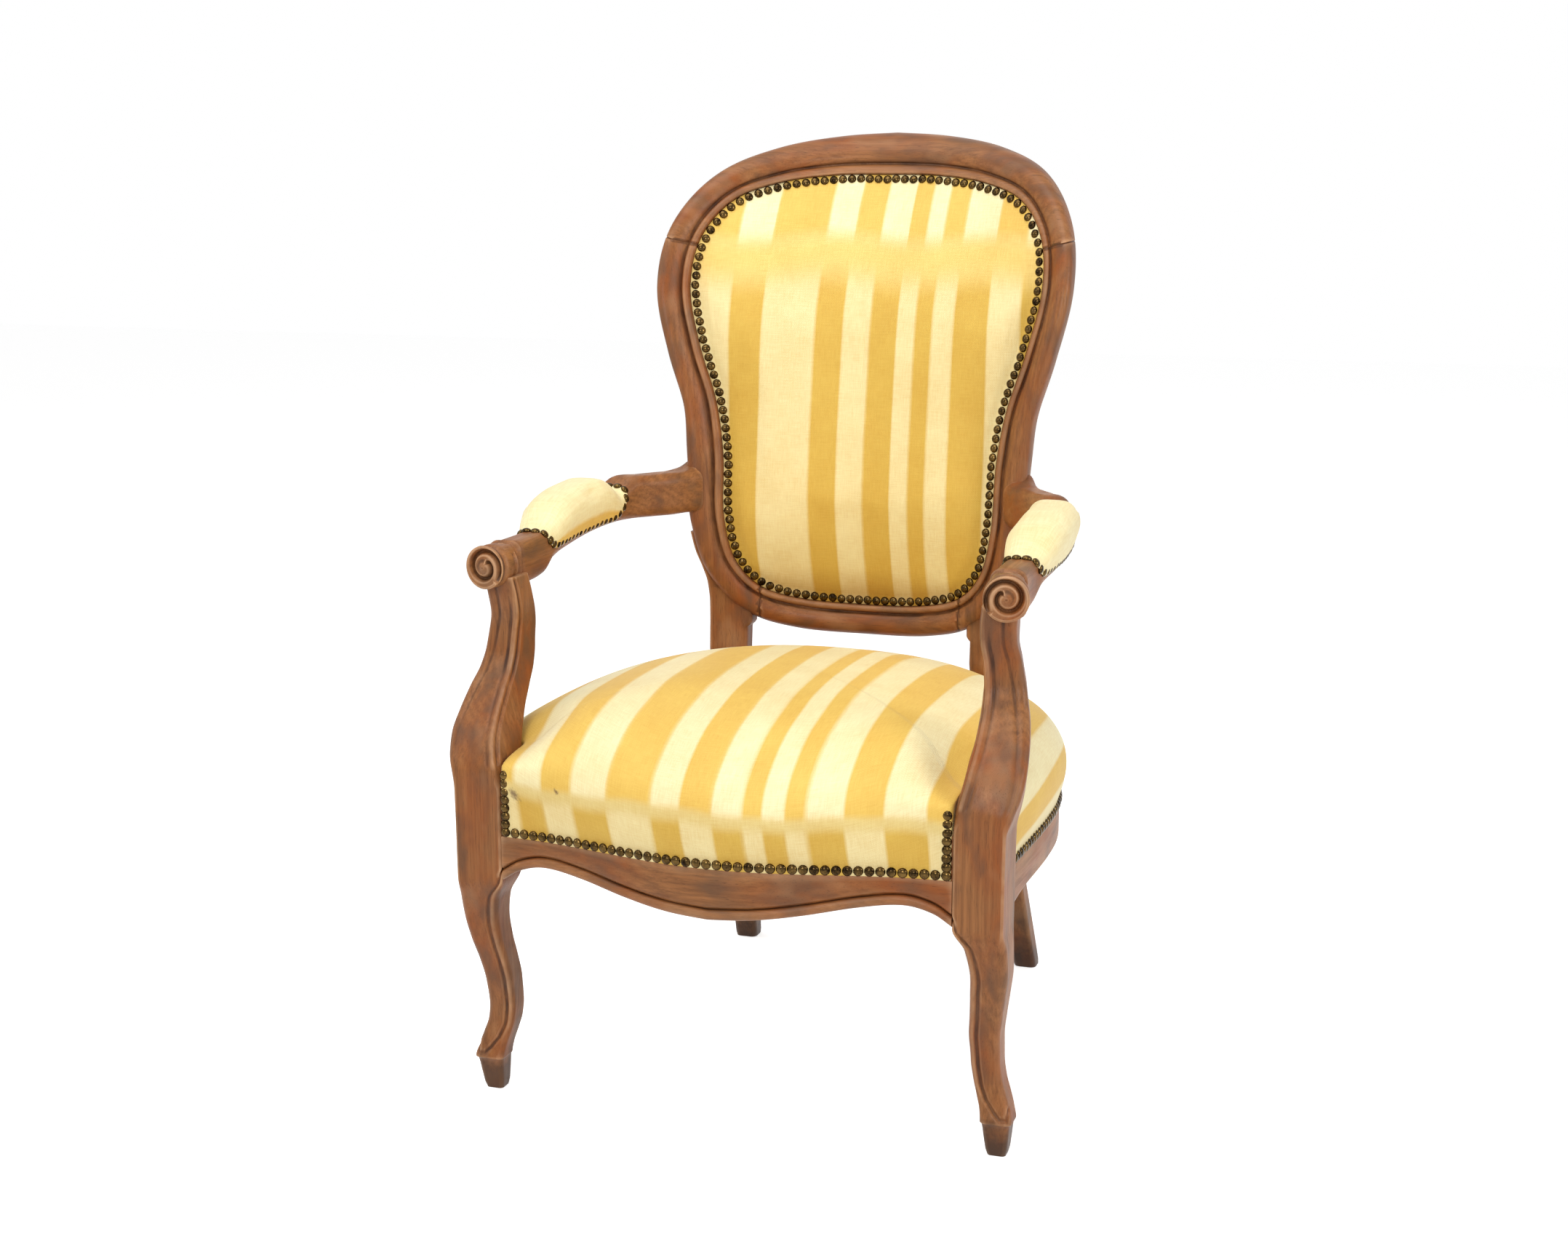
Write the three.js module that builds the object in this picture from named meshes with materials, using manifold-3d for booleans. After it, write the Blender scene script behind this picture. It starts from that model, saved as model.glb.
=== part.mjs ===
// Upholstered armchair with a waisted medallion back, padded arms and curved front legs.
// Millimetres. +Z is up, the chair faces -Y, and the origin is on the floor under its middle.
import * as THREE from 'three';
import { mergeVertices } from 'three/addons/utils/BufferGeometryUtils.js';
import Module from 'manifold-3d';

const wasm = await Module();
wasm.setup();

// Clearances
const fitGap = 0.3;
const cutOverrun = 2;

// Back frame: the nail line is its inner edge, and the wood lies outside it
const nailLineHalfWidth = 204.5;
const nailLineBottom = 468.5;
const nailLineHeight = 487.5;
const frameWidth = 54;
const frameDepth = 37;
const frameCrown = 8.5;
const ledgeWidth = 14;
const nailBorder = 5.5;
const ledgeFront = 3;
const ledgeThickness = 21;
const backHollow = 76;
const backHollowHalfWidth = 247;
const backRake = 123;
const lumbarPlace = 152;
const lumbarHeight = 545;
const railJointHalfWidth = 121.5;
const railTenonDropShare = 0.2;

// Back posts below the frame
const backFootOut = 182.5;
const backFootBehind = 266.5;
const backFootSide = 28;
const backPostInner = 136;
const backPostWidth = 44;
const backPostOuter = backPostInner + backPostWidth;
const backPostForward = 9;
const backPostTwistShare = 0.6;
const backPostFootShare = 0.6;
const backPostTop = 548;

// Front posts: each is a leg and an arm support in one piece
const frontPostOut = 264.5;
const frontPostAhead = 319.5;
const frontPostSide = 51;
const supportTurn = 12;
const supportDepthShare = 0.95;

// Seat rails
const railTop = 345;
const railHeight = 76;
const webbingLevel = railTop - railHeight;
const railNailRise = 29;
const railNailHeight = webbingLevel + railNailRise;
const sideRailLip = 7;
const sideRailBottom = webbingLevel - sideRailLip;
const blockLip = 19;
const legHeight = webbingLevel - blockLip;
const railThickness = 32;
const railRebate = 3;
const frontBow = 38;
const apronDrop = 24;
const railBead = 11;
const beadRelief = 2;
const sideRailBow = 5;
const sideRailThickness = 30;
const sideRailTurnShare = 0.25;
const sideRailDropShare = 0.2;
const backRailThickness = 24;
const webbingSeat = 14;
const tenonLength = 18;
const tenonThickness = 10;
const tenonHeight = 40;
const frontTenonShare = 0.55;
const cornerBlockReach = 58;
const cornerBlockHeight = 58;

// Arms
const armScrollHeight = 568;
const armScrollOut = 276;
const armFrontAhead = 296;
const armScrollRadius = 22.5;
const armScrollLength = 34;
const armWidth = 38;
const armHeight = 50;
const armRearOut = 200;
const armRearBehind = 122;
const armBow = 70;
const armRise = 56;
const armRearTop = armScrollHeight + armRise;
const armJointOut = 199;
const armScrewRadius = 2.5;
const armScrewHead = 5;
const armScrewLength = 64;
const armScrewTurn = 27;

// Upholstery
const coverThickness = 2;
const seatCrown = 102;
const seatBulge = 9;
const cornerQuiltReach = 90;
const cornerNailTop = 369;
const backCrown = 26;
const canvasThickness = 1.5;
const backCanvasDepth = 12;
const padFrontAhead = 192;
const padRearBehind = 12;
const padCrown = 29;
const padSkirt = 17;
const padSwell = 7;
const strapWidth = 48;
const strapThickness = 1.8;
const seatLongStrapCount = 4;
const seatCrossStrapCount = 4;
const backStrapCount = 2;
const backStrapShare = 0.72;
const nailDiameter = 10.5;
const nailHeight = 3;

// Springs
const springRadius = 36;
const springWaistShare = 0.62;
const springWire = 3.6;
const springTurns = 3;
const springSteps = 6;
const springSides = 4;

const walnut = { color: 0x96603a, roughness: 0.45, metalness: 0 };
const beech = { color: 0xb98e5e, roughness: 0.7, metalness: 0 };
const fabric = { color: 0xf0cc66, roughness: 0.85, metalness: 0 };
const jute = { color: 0xb59a6a, roughness: 0.95, metalness: 0 };
const horsehair = { color: 0x6b5a48, roughness: 1, metalness: 0 };
const bronze = { color: 0x55432a, roughness: 0.4, metalness: 0.9 };
const steel = { color: 0x8a8a88, roughness: 0.4, metalness: 1 };

// Nail line of the back from the bottom centre to the top centre: half-width share, height share
const nailLineShares = [
  [0, 0], [0.372, 0.009], [0.58, 0.036], [0.7, 0.093], [0.762, 0.195], [0.778, 0.35],
  [0.826, 0.477], [0.93, 0.615], [1, 0.757], [0.965, 0.866], [0.83, 0.943], [0.6, 0.981],
  [0.3, 0.998], [0, 1],
];

// Visible width of the frame: share of the way from the bottom centre to the top centre, width share
const frameWidthShares = [
  [0, 0.79], [0.13, 0.8], [0.19, 0.76], [0.26, 0.78], [0.32, 0.84], [0.39, 0.84], [0.46, 0.77],
  [0.54, 0.75], [0.63, 0.76], [0.74, 0.8], [0.86, 0.9], [1, 1],
];

// Section of the frame past its ledge: width share from the nail line, depth share of the crown
// (front) or of the frame's depth (rear)
const frameFrontShares = [
  [0, 0.35], [0.14, 0.5], [0.27, 0.05], [0.38, 0.6], [0.6, 1], [0.8, 0.75], [0.93, 0.1],
];
const frameRearShares = [[1, 0.2], [1, 0.6], [0.93, 0.74]];
const rearFlatShare = 0.72;

// Rake of the back: height share from the lumbar point to the top, share of the rake
const backRakeShares = [
  [-0.5, 0.02], [-0.24, 0.06], [0, 0], [0.2, 0.07], [0.38, 0.17], [0.55, 0.29], [0.7, 0.46],
  [0.83, 0.66], [1, 1],
];

// Front leg: height share of the leg, then outward, backward and side shares of the post's side
const frontLegShares = [
  [0, 0.235, 0.618, 0.41], [0.08, 0.239, 0.57, 0.5], [0.146, 0.245, 0.525, 0.58],
  [0.152, 0.25, 0.51, 0.64], [0.2, 0.21, 0.565, 0.615], [0.26, 0.122, 0.633, 0.604],
  [0.32, 0.037, 0.673, 0.59], [0.4, -0.008, 0.641, 0.596], [0.5, -0.01, 0.541, 0.624],
  [0.6, 0.041, 0.422, 0.655], [0.7, 0.106, 0.269, 0.702], [0.8, 0.151, 0.161, 0.755],
  [0.9, 0.118, 0.057, 0.843], [1, 0, 0, 1],
];

// Arm support: height share from the rail's top to the scroll's middle, then outward, backward and
// side shares of the post's side, and the share of its turn
const armSupportShares = [
  [0, 0.01, 0, 1.02, 0], [0.09, 0.06, 0.05, 1.12, 0.2], [0.16, 0.1, 0.17, 1.17, 0.6],
  [0.25, 0.137, 0.365, 1.15, 0.87], [0.335, 0.15, 0.655, 1.07, 0.9], [0.425, 0.128, 0.967, 0.985, 1],
  [0.515, 0.073, 1.235, 0.88, 1.1], [0.605, 0.031, 1.345, 0.805, 1.05], [0.695, -0.02, 1.345, 0.76, 1],
  [0.785, -0.07, 1.263, 0.727, 0.7], [0.87, -0.05, 1.17, 0.727, 0.5], [0.95, 0, 1.1, 0.727, 0.5],
];

// Back leg: height share below the frame's foot level, then share of the way from the post to the
// foot outward and backward, and share of the way from the foot's side to the post's
const backLegShares = [
  [0, 1, 1, 0], [0.2, 0.72, 0.745, 0.17], [0.45, 0.4, 0.42, 0.45], [0.7, 0.15, 0.17, 0.72], [1, 0, 0, 1],
];

// Inner edge of the back post above the seat: height share, share of the post's width cut away
const backPostInnerShares = [
  [0, 0], [0.18, 0], [0.22, -0.11], [0.4, -0.11], [0.56, 0.04], [0.7, 0.28], [0.84, 0.48], [1, 0.64],
];
const backPostOuterShares = [[0, 0], [0.4, 0], [0.56, 0.04], [0.7, 0.16], [0.84, 0.32], [1, 0.44]];

// Arm: share of the way from its rear end to its front, share of the bow outward, share of the fall
// of its top, height share, and width share
const armShares = [
  [0, -0.15, -0.28, 1.18, 1.1], [0.035, -0.04, -0.06, 1.06, 1.1], [0.084, 0.13, 0.05, 0.98, 1.12],
  [0.124, 0.28, 0.05, 0.99, 1.12], [0.17, 0.5, 0.06, 0.98, 1.14], [0.23, 0.74, 0.08, 0.96, 1.08],
  [0.3, 0.87, 0.66, 0.58, 1], [0.42, 0.97, 0.78, 0.56, 1], [0.56, 1, 0.88, 0.6, 1],
  [0.7, 0.96, 0.97, 0.68, 0.95], [0.76, 0.94, 1, 0.9, 0.88], [0.88, 0.97, 1.02, 0.94, 0.9],
  [0.96, 1.03, 1.06, 0.86, 0.92], [1, 1.06, 1.1, 0.7, 0.8],
];

// Outline of the seat's side rail: share of the way from the front post to the back post, share of
// the way inward from the front post's outer face to the back post's
const sideRailShares = [
  [0, 0.02], [0.2, -0.01], [0.4, -0.02], [0.56, 0.02], [0.7, 0.15], [0.85, 0.44], [1, 0.87],
];

// Lower edge of the front rail: half-length share, share of the drop
const apronShares = [
  [0, 1], [0.2, 0.87], [0.4, 0.58], [0.62, 0.17], [0.8, 0], [0.92, 0.28], [1, 0.76],
];

// Seat cushion above its nails: height share, share of the bulge, share of the way to the middle
const seatCushionShares = [
  [0, 0.1, 0], [0.15, 0.8, 0], [0.34, 0.95, 0], [0.53, 0.2, 0.02], [0.66, 0, 0.12],
  [0.82, 0, 0.31], [0.95, 0, 0.6],
];

// Back cushion: share of the way from the rim to the middle, share of the crown
const backCushionShares = [
  [0, 0], [0.07, 0.3], [0.2, 0.6], [0.42, 0.86], [0.72, 0.98],
];
const backSheetShares = [0, 0.5];

// Arm pad: share of its length, share of its crown, share of its swell
const padShares = [
  [0, 0.12, 0], [0.06, 0.34, 0.15], [0.16, 0.64, 0.55], [0.33, 0.92, 0.95], [0.52, 1, 1], [0.7, 0.94, 0.95],
  [0.86, 0.74, 0.6], [0.95, 0.45, 0.2], [1, 0.12, 0],
];

// Section of a row of nails: share of its half width, share of its height
const nailProfileShares = [[-1, 0], [-0.62, 0.85], [0.62, 0.85], [1, 0]];
const deepNailProfileShares = [[-1, -1], [-0.75, 0.6], [0, 1], [0.75, 0.6], [1, -1]];

// Steps of the curved pieces
const loopStations = 46;
const railStations = 14;
const sideRailStations = 8;
const armStations = 18;
const padStations = 8;
const scrollSegments = 12;
const screwSegments = 8;

const group = new THREE.Group();

// Tables are read with a smooth curve through their rows, or with straight lines between them
function readTable(rows, place, column) {
  const last = rows.length - 1;
  if (place <= rows[0][0]) return rows[0][column];
  if (place >= rows[last][0]) return rows[last][column];
  let row = 0;
  while (rows[row + 1][0] < place) row += 1;
  const slope = (a, b) => (rows[b][column] - rows[a][column]) / (rows[b][0] - rows[a][0]);
  const span = rows[row + 1][0] - rows[row][0];
  const share = (place - rows[row][0]) / span;
  const startSlope = row > 0 ? slope(row - 1, row + 1) : slope(0, 1);
  const endSlope = row + 2 <= last ? slope(row, row + 2) : slope(last - 1, last);
  const square = share * share;
  const cube = square * share;
  return (2 * cube - 3 * square + 1) * rows[row][column]
    + (cube - 2 * square + share) * span * startSlope
    + (3 * square - 2 * cube) * rows[row + 1][column]
    + (cube - square) * span * endSlope;
}

function mix(start, end, share) {
  return start + (end - start) * share;
}

// Closed bodies through rings of points: each ring has the same number of points
function capTriangles(ring, offset) {
  const normal = new THREE.Vector3();
  ring.forEach((point, index) => {
    normal.add(point.clone().cross(ring[(index + 1) % ring.length]));
  });
  normal.normalize();
  const across = new THREE.Vector3().subVectors(ring[1], ring[0]).normalize();
  const along = new THREE.Vector3().crossVectors(normal, across);
  const flat = ring.map((point) => new THREE.Vector2(point.dot(across), point.dot(along)));
  return THREE.ShapeUtils.triangulateShape(flat, []).map((face) => face.map((index) => index + offset));
}

function loft(rings, closed = false) {
  const size = rings[0].length;
  const faces = [];
  const steps = closed ? rings.length : rings.length - 1;
  for (let step = 0; step < steps; step += 1) {
    const next = (step + 1) % rings.length;
    for (let side = 0; side < size; side += 1) {
      const a = step * size + side;
      const b = step * size + ((side + 1) % size);
      const c = next * size + ((side + 1) % size);
      const d = next * size + side;
      faces.push([a, b, c], [a, c, d]);
    }
  }
  if (!closed) {
    const lastOffset = (rings.length - 1) * size;
    capTriangles(rings[0], 0).forEach((face) => faces.push([face[0], face[2], face[1]]));
    capTriangles(rings[rings.length - 1], lastOffset).forEach((face) => faces.push(face));
  }
  return bodyFrom(rings.flat(), faces);
}

function signedVolume(points, faces) {
  return faces.reduce((sum, [a, b, c]) => (
    sum + points[a].dot(new THREE.Vector3().crossVectors(points[b], points[c]))), 0);
}

function bodyFrom(points, faces) {
  const outward = signedVolume(points, faces) > 0;
  const geometry = new THREE.BufferGeometry();
  geometry.setFromPoints(points);
  geometry.setIndex(faces.flatMap(([a, b, c]) => (outward ? [a, b, c] : [a, c, b])));
  return geometry;
}

function bare(geometry) {
  const copy = geometry.clone();
  copy.deleteAttribute('normal');
  copy.deleteAttribute('uv');
  return mergeVertices(copy);
}

function solid(geometry) {
  const clean = bare(geometry);
  return new wasm.Manifold(new wasm.Mesh({
    numProp: 3,
    vertProperties: new Float32Array(clean.attributes.position.array),
    triVerts: new Uint32Array(clean.index.array),
  }));
}

function shapeOf(manifold) {
  const mesh = manifold.getMesh();
  const geometry = new THREE.BufferGeometry();
  geometry.setAttribute('position', new THREE.BufferAttribute(new Float32Array(mesh.vertProperties), 3));
  geometry.setIndex(new THREE.BufferAttribute(new Uint32Array(mesh.triVerts), 1));
  return geometry;
}

function cut(geometry, ...cutters) {
  return shapeOf(cutters.reduce((body, cutter) => body.subtract(solid(cutter)), solid(geometry)));
}

function join(geometry, ...others) {
  return shapeOf(others.reduce((body, other) => body.add(solid(other)), solid(geometry)));
}

function keepInside(geometry, limit) {
  return shapeOf(solid(geometry).intersect(solid(limit)));
}

function mirrored(geometry) {
  const copy = bare(geometry);
  const place = copy.attributes.position;
  for (let index = 0; index < place.count; index += 1) place.setX(index, -place.getX(index));
  const order = Array.from(copy.index.array);
  for (let face = 0; face < order.length; face += 3) {
    [order[face + 1], order[face + 2]] = [order[face + 2], order[face + 1]];
  }
  copy.setIndex(order);
  return copy;
}

function block(low, high) {
  const size = new THREE.Vector3().subVectors(high, low);
  const geometry = new THREE.BoxGeometry(size.x, size.y, size.z);
  geometry.translate((low.x + high.x) / 2, (low.y + high.y) / 2, (low.z + high.z) / 2);
  return geometry;
}

function point(x, y, z) {
  return new THREE.Vector3(x, y, z);
}

function addPiece(name, geometry, finish) {
  const shape = geometry.index ? geometry.toNonIndexed() : geometry;
  shape.computeVertexNormals();
  const mesh = new THREE.Mesh(shape, new THREE.MeshStandardMaterial(finish));
  mesh.name = name;
  group.add(mesh);
}

function addPair(name, rightGeometry, finish) {
  addPiece(`${name}_right`, rightGeometry, finish);
  addPiece(`${name}_left`, mirrored(rightGeometry), finish);
}

// A rounded rectangle with three points at each corner
function roundedSection(width, depth, corner, cornerSteps = 2) {
  const points = [];
  const quarter = Math.PI / 2;
  [[1, 1], [-1, 1], [-1, -1], [1, -1]].forEach(([signX, signY], index) => {
    for (let step = 0; step <= cornerSteps; step += 1) {
      const angle = quarter * (index + step / cornerSteps);
      points.push([
        signX * (width / 2 - corner) + corner * Math.cos(angle),
        signY * (depth / 2 - corner) + corner * Math.sin(angle),
      ]);
    }
  });
  return points;
}

// Back surface: hollow from side to side, raked towards the top. depth counts to the rear.
const frameTop = nailLineBottom + nailLineHeight + frameWidth;

function backPlace(x, z, depth) {
  const share = (z - lumbarHeight) / (frameTop - lumbarHeight);
  const hollow = backHollow * (x / backHollowHalfWidth) ** 2;
  return lumbarPlace + backRake * readTable(backRakeShares, share, 1) - hollow + depth;
}

const halfNailLine = nailLineShares.map(([across, up]) => (
  point(across * nailLineHalfWidth, 0, nailLineBottom + up * nailLineHeight)));
const otherHalf = halfNailLine.slice(1, -1).reverse().map((spot) => point(-spot.x, 0, spot.z));
const nailLine = new THREE.CatmullRomCurve3([...halfNailLine, ...otherHalf], true, 'centripetal');
nailLine.arcLengthDivisions = 800;

// turn runs from 0 at the bottom centre, up the right side, to 0.5 at the top centre
function nailLineFrame(turn) {
  const place = nailLine.getPointAt(turn);
  const tangent = nailLine.getTangentAt(turn);
  return { place, outX: tangent.z, outZ: -tangent.x };
}

function backPoint(frame, outward, depth) {
  const x = frame.place.x + frame.outX * outward;
  const z = frame.place.z + frame.outZ * outward;
  return point(x, backPlace(x, z, depth), z);
}

function frameWidthAt(turn) {
  const way = turn <= 0.5 ? turn * 2 : 2 - turn * 2;
  return frameWidth * readTable(frameWidthShares, way, 1);
}

// Section of the frame: pairs of outward distance and depth
function frameSection(fullWidth, grow) {
  const rearFace = frameDepth - frameCrown;
  const width = fullWidth - nailBorder;
  const opening = nailBorder - ledgeWidth - grow;
  const ledgeRear = ledgeFront + ledgeThickness + grow;
  const edge = nailBorder - grow;
  const section = [[opening, ledgeFront - grow], [edge, ledgeFront - grow]];
  frameFrontShares.forEach(([across, crown]) => {
    section.push([Math.max(edge, nailBorder + across * width), -crown * frameCrown - grow]);
  });
  frameRearShares.forEach(([across, down]) => {
    section.push([nailBorder + across * width + grow, down * frameDepth]);
  });
  section.push([nailBorder + width * rearFlatShare, rearFace + grow], [edge, rearFace + grow]);
  section.push([edge, ledgeRear], [opening, ledgeRear]);
  return section;
}

// Turns from start to end: the steps that all rings around the back share, and the two ends
function turnsBetween(startTurn, endTurn) {
  const turns = [startTurn];
  const margin = 1 / (loopStations * 4);
  const last = Math.floor(endTurn * loopStations);
  for (let step = Math.ceil(startTurn * loopStations); step <= last; step += 1) {
    const turn = step / loopStations;
    if (turn > startTurn + margin && turn < endTurn - margin) turns.push(turn);
  }
  turns.push(endTurn);
  return turns;
}

function frameMember(startTurn, endTurn, grow = 0) {
  return loft(turnsBetween(startTurn, endTurn).map((turn) => {
    const frame = nailLineFrame((turn + 1) % 1);
    const section = frameSection(frameWidthAt((turn + 1) % 1), grow);
    return section.map(([outward, depth]) => backPoint(frame, outward, depth));
  }));
}

const shoulderTurn = 16 / loopStations;
const postStartTurn = 2 / loopStations;
const railEndTurn = 6 / loopStations;
const tenonWay = tenonLength / nailLine.getLength();
const gapWay = fitGap / nailLine.getLength();

// A tenon that follows the frame: it leaves startTurn and enters the neighbour as far as endTurn
function frameTenon(startTurn, endTurn, grow) {
  const rings = [];
  const tenonStations = 3;
  for (let step = 0; step <= tenonStations; step += 1) {
    const turn = mix(startTurn, endTurn, step / tenonStations);
    const frame = nailLineFrame((turn + 1) % 1);
    const middle = frameWidthAt((turn + 1) % 1) / 2;
    const reach = tenonThickness + grow;
    const depth = (frameDepth - frameCrown) / 2;
    rings.push([
      backPoint(frame, middle - reach, depth - tenonThickness / 2 - grow),
      backPoint(frame, middle + reach, depth - tenonThickness / 2 - grow),
      backPoint(frame, middle + reach, depth + tenonThickness / 2 + grow),
      backPoint(frame, middle - reach, depth + tenonThickness / 2 + grow),
    ]);
  }
  return loft(rings);
}

function crestRail() {
  const start = shoulderTurn + gapWay / 2;
  const body = frameMember(start, 1 - start);
  const mortiseEnd = shoulderTurn + tenonWay + gapWay;
  const mortiseStart = shoulderTurn - gapWay;
  const right = frameTenon(mortiseStart, mortiseEnd, fitGap);
  return cut(body, right, mirrored(right));
}

function lowerBackRail() {
  const body = frameMember(-railEndTurn, railEndTurn);
  const edge = railJointHalfWidth - fitGap;
  const limit = block(
    point(-edge, -backFootBehind, 0),
    point(edge, backFootBehind, nailLineBottom + nailLineHeight),
  );
  const trimmed = keepInside(body, limit);
  const tenon = railTenon(0);
  return join(trimmed, tenon, mirrored(tenon));
}

// The lower rail's tenon runs across the vertical joint at its end
function railTenon(grow) {
  const middle = nailLineBottom - frameWidthAt(0) * railTenonDropShare;
  const depth = backPlace(railJointHalfWidth, middle, (frameDepth - frameCrown) / 2);
  const halfY = tenonThickness / 2 + grow;
  const halfZ = tenonThickness + grow;
  return block(
    point(railJointHalfWidth - tenonLength, depth - halfY, middle - halfZ),
    point(railJointHalfWidth + tenonLength + grow, depth + halfY, middle + halfZ),
  );
}

const legCornerShare = 0.18;
const postDepth = frameDepth - frameCrown - ledgeFront;
const postMiddleDepth = ledgeFront + postDepth / 2;
const backPostFootLevel = railTop + seatCrown * backPostFootShare;

// The leg of a back post: rings from the floor to inside the frame
function backLegRings(grow = 0) {
  const rings = [];
  const lowerSteps = 8;
  const postWidth = backPostOuter - backPostInner;
  const postMiddle = (backPostOuter + backPostInner) / 2;
  const postBehind = backPlace(postMiddle, backPostFootLevel, postMiddleDepth - backPostForward);
  for (let step = 0; step <= lowerSteps; step += 1) {
    const share = step / lowerSteps;
    const toFoot = readTable(backLegShares, share, 1);
    const behind = readTable(backLegShares, share, 2);
    const swell = readTable(backLegShares, share, 3);
    const width = mix(backFootSide, postWidth, swell) + 2 * grow;
    const depth = mix(backFootSide, postDepth, swell) + 2 * grow;
    const middleX = mix(postMiddle, backFootOut, toFoot);
    const middleY = mix(postBehind, backFootBehind, behind);
    const shear = backPostTwistShare * swell * 2 * backHollow * postMiddle / backHollowHalfWidth ** 2;
    const section = roundedSection(width, depth, backFootSide * legCornerShare, 1);
    rings.push(section.map(([x, y]) => (
      point(middleX + x, middleY + y - shear * x, share * backPostFootLevel))));
  }
  return rings;
}

function backPostUpperRings(grow = 0) {
  const rings = [];
  const upperSteps = 8;
  const postWidth = backPostOuter - backPostInner;
  for (let step = 1; step <= upperSteps; step += 1) {
    const share = step / upperSteps;
    const z = mix(backPostFootLevel, backPostTop, share);
    const inner = backPostInner + postWidth * readTable(backPostInnerShares, share, 1) - grow;
    const outer = backPostOuter + postWidth * readTable(backPostOuterShares, share, 1) + grow;
    const section = roundedSection(outer - inner, postDepth + 2 * grow, backFootSide * legCornerShare, 1);
    const middle = (inner + outer) / 2;
    const depth = postMiddleDepth - mix(backPostForward, 0, share);
    rings.push(section.map(([x, y]) => {
      const hollowSpot = middle + x * mix(backPostTwistShare, 1, share);
      return point(middle + x, backPlace(hollowSpot, z, depth + y), z);
    }));
  }
  return rings;
}

function backPostLeg(grow = 0) {
  return loft([...backLegRings(grow), ...backPostUpperRings(grow)]);
}

// The space of the back upholstery, which the top of the leg stays out of
function backSpace(front, rear) {
  return backSheet(nailBorder, front, rear);
}

function backPostRight() {
  const bend = frameMember(postStartTurn, shoulderTurn - gapWay / 2);
  const inside = block(
    point(-cutOverrun, -backFootBehind, 0),
    point(railJointHalfWidth, backFootBehind, nailLineBottom + nailLineHeight / 4),
  );
  const foot = block(
    point(0, -cutOverrun, -cutOverrun),
    point(railJointHalfWidth, backFootBehind * 2, cutOverrun),
  );
  const rearSpace = backSpace(ledgeFront + ledgeThickness, frameDepth * 2);
  const leg = cut(backPostLeg(), backSpace(-frameDepth * 2, ledgeFront), rearSpace);
  const shoulderTenon = frameTenon(shoulderTurn - tenonWay, shoulderTurn + tenonWay, 0);
  const whole = join(cut(bend, inside), leg, shoulderTenon);
  return cut(whole, railTenon(fitGap), backRailTenon(fitGap), armScrew(fitGap), sideRailTenon(fitGap), foot);
}

// Front posts
function frontPostRing(z, out, back, side, turn, grow, bead) {
  const middleX = frontPostOut + out * frontPostSide;
  const middleY = -frontPostAhead + back * frontPostSide;
  const width = side * frontPostSide + 2 * grow;
  const angle = THREE.MathUtils.degToRad(supportTurn * turn);
  return roundedSection(width, width * mix(1, supportDepthShare, turn), width * bead).map(([x, y]) => point(
    middleX + x * Math.cos(angle) - y * Math.sin(angle),
    middleY + x * Math.sin(angle) + y * Math.cos(angle),
    z,
  ));
}

function frontPostBody(grow = 0) {
  const cornerShare = 0.16;
  const blockCornerShare = 0.06;
  const rings = frontLegShares.map(([up, out, back, side]) => (
    frontPostRing(up * legHeight, out, back, side, 0, grow, up === 1 ? blockCornerShare : cornerShare)));
  armSupportShares.forEach(([up, out, back, side, turn]) => {
    const z = mix(railTop, armScrollHeight, up);
    rings.push(frontPostRing(z, out, back, side, turn, grow, up === 0 ? blockCornerShare : cornerShare));
  });
  return loft(rings);
}

const frontPostInnerFace = frontPostOut - frontPostSide / 2;
const frontPostOuterFace = frontPostOut + frontPostSide / 2;
const frontPostFace = -(frontPostAhead + frontPostSide / 2);
const frontPostBackFace = -(frontPostAhead - frontPostSide / 2);
const railMiddle = (railTop + sideRailBottom) / 2;

function supportTenon(grow) {
  const row = armSupportShares[armSupportShares.length - 1];
  const x = frontPostOut + row[1] * frontPostSide;
  const y = -frontPostAhead + row[2] * frontPostSide;
  const top = mix(railTop, armScrollHeight, row[0]);
  return block(
    point(x - tenonThickness - grow, y - tenonThickness / 2 - grow, top - cutOverrun),
    point(x + tenonThickness + grow, y + tenonThickness / 2 + grow, top + tenonLength + grow),
  );
}

function frontPostRight() {
  const whole = join(frontPostBody(), supportTenon(0));
  return cut(whole, frontRailTenon(fitGap), sideRailFrontTenon(fitGap));
}

// Seat rails
function frontRailFace(x) {
  const share = Math.min(1, Math.abs(x) / frontPostInnerFace);
  return frontPostFace - frontBow * Math.cos(share * Math.PI / 2) ** 2;
}

function apronBottom(x) {
  const share = Math.min(1, Math.abs(x) / frontPostInnerFace);
  return webbingLevel - apronDrop * readTable(apronShares, share, 1);
}

function frontRailBody(grow = 0, ends = frontPostInnerFace - fitGap) {
  const rings = [];
  for (let step = 0; step <= railStations; step += 1) {
    const x = mix(-ends, ends, step / railStations);
    const face = frontRailFace(x) - grow;
    const inner = frontRailFace(x) + railThickness + grow;
    const low = apronBottom(x) - grow;
    const rebate = Math.max(low + cutOverrun / 2, webbingLevel + fitGap - grow);
    rings.push([
      [inner, rebate], [inner - webbingSeat, rebate], [inner - webbingSeat, low], [face + beadRelief, low],
      [face, low + beadRelief], [face, low + railBead - beadRelief], [face + beadRelief, low + railBead],
      [face + beadRelief / 2, low + railBead + beadRelief], [face + beadRelief / 2, railNailHeight],
      [face + railRebate, railNailHeight], [face + railRebate, railTop - railRebate + grow],
      [face + 2 * railRebate, railTop + grow], [inner, railTop + grow],
    ].map(([y, z]) => point(x, y, z)));
  }
  return loft(rings);
}

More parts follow.
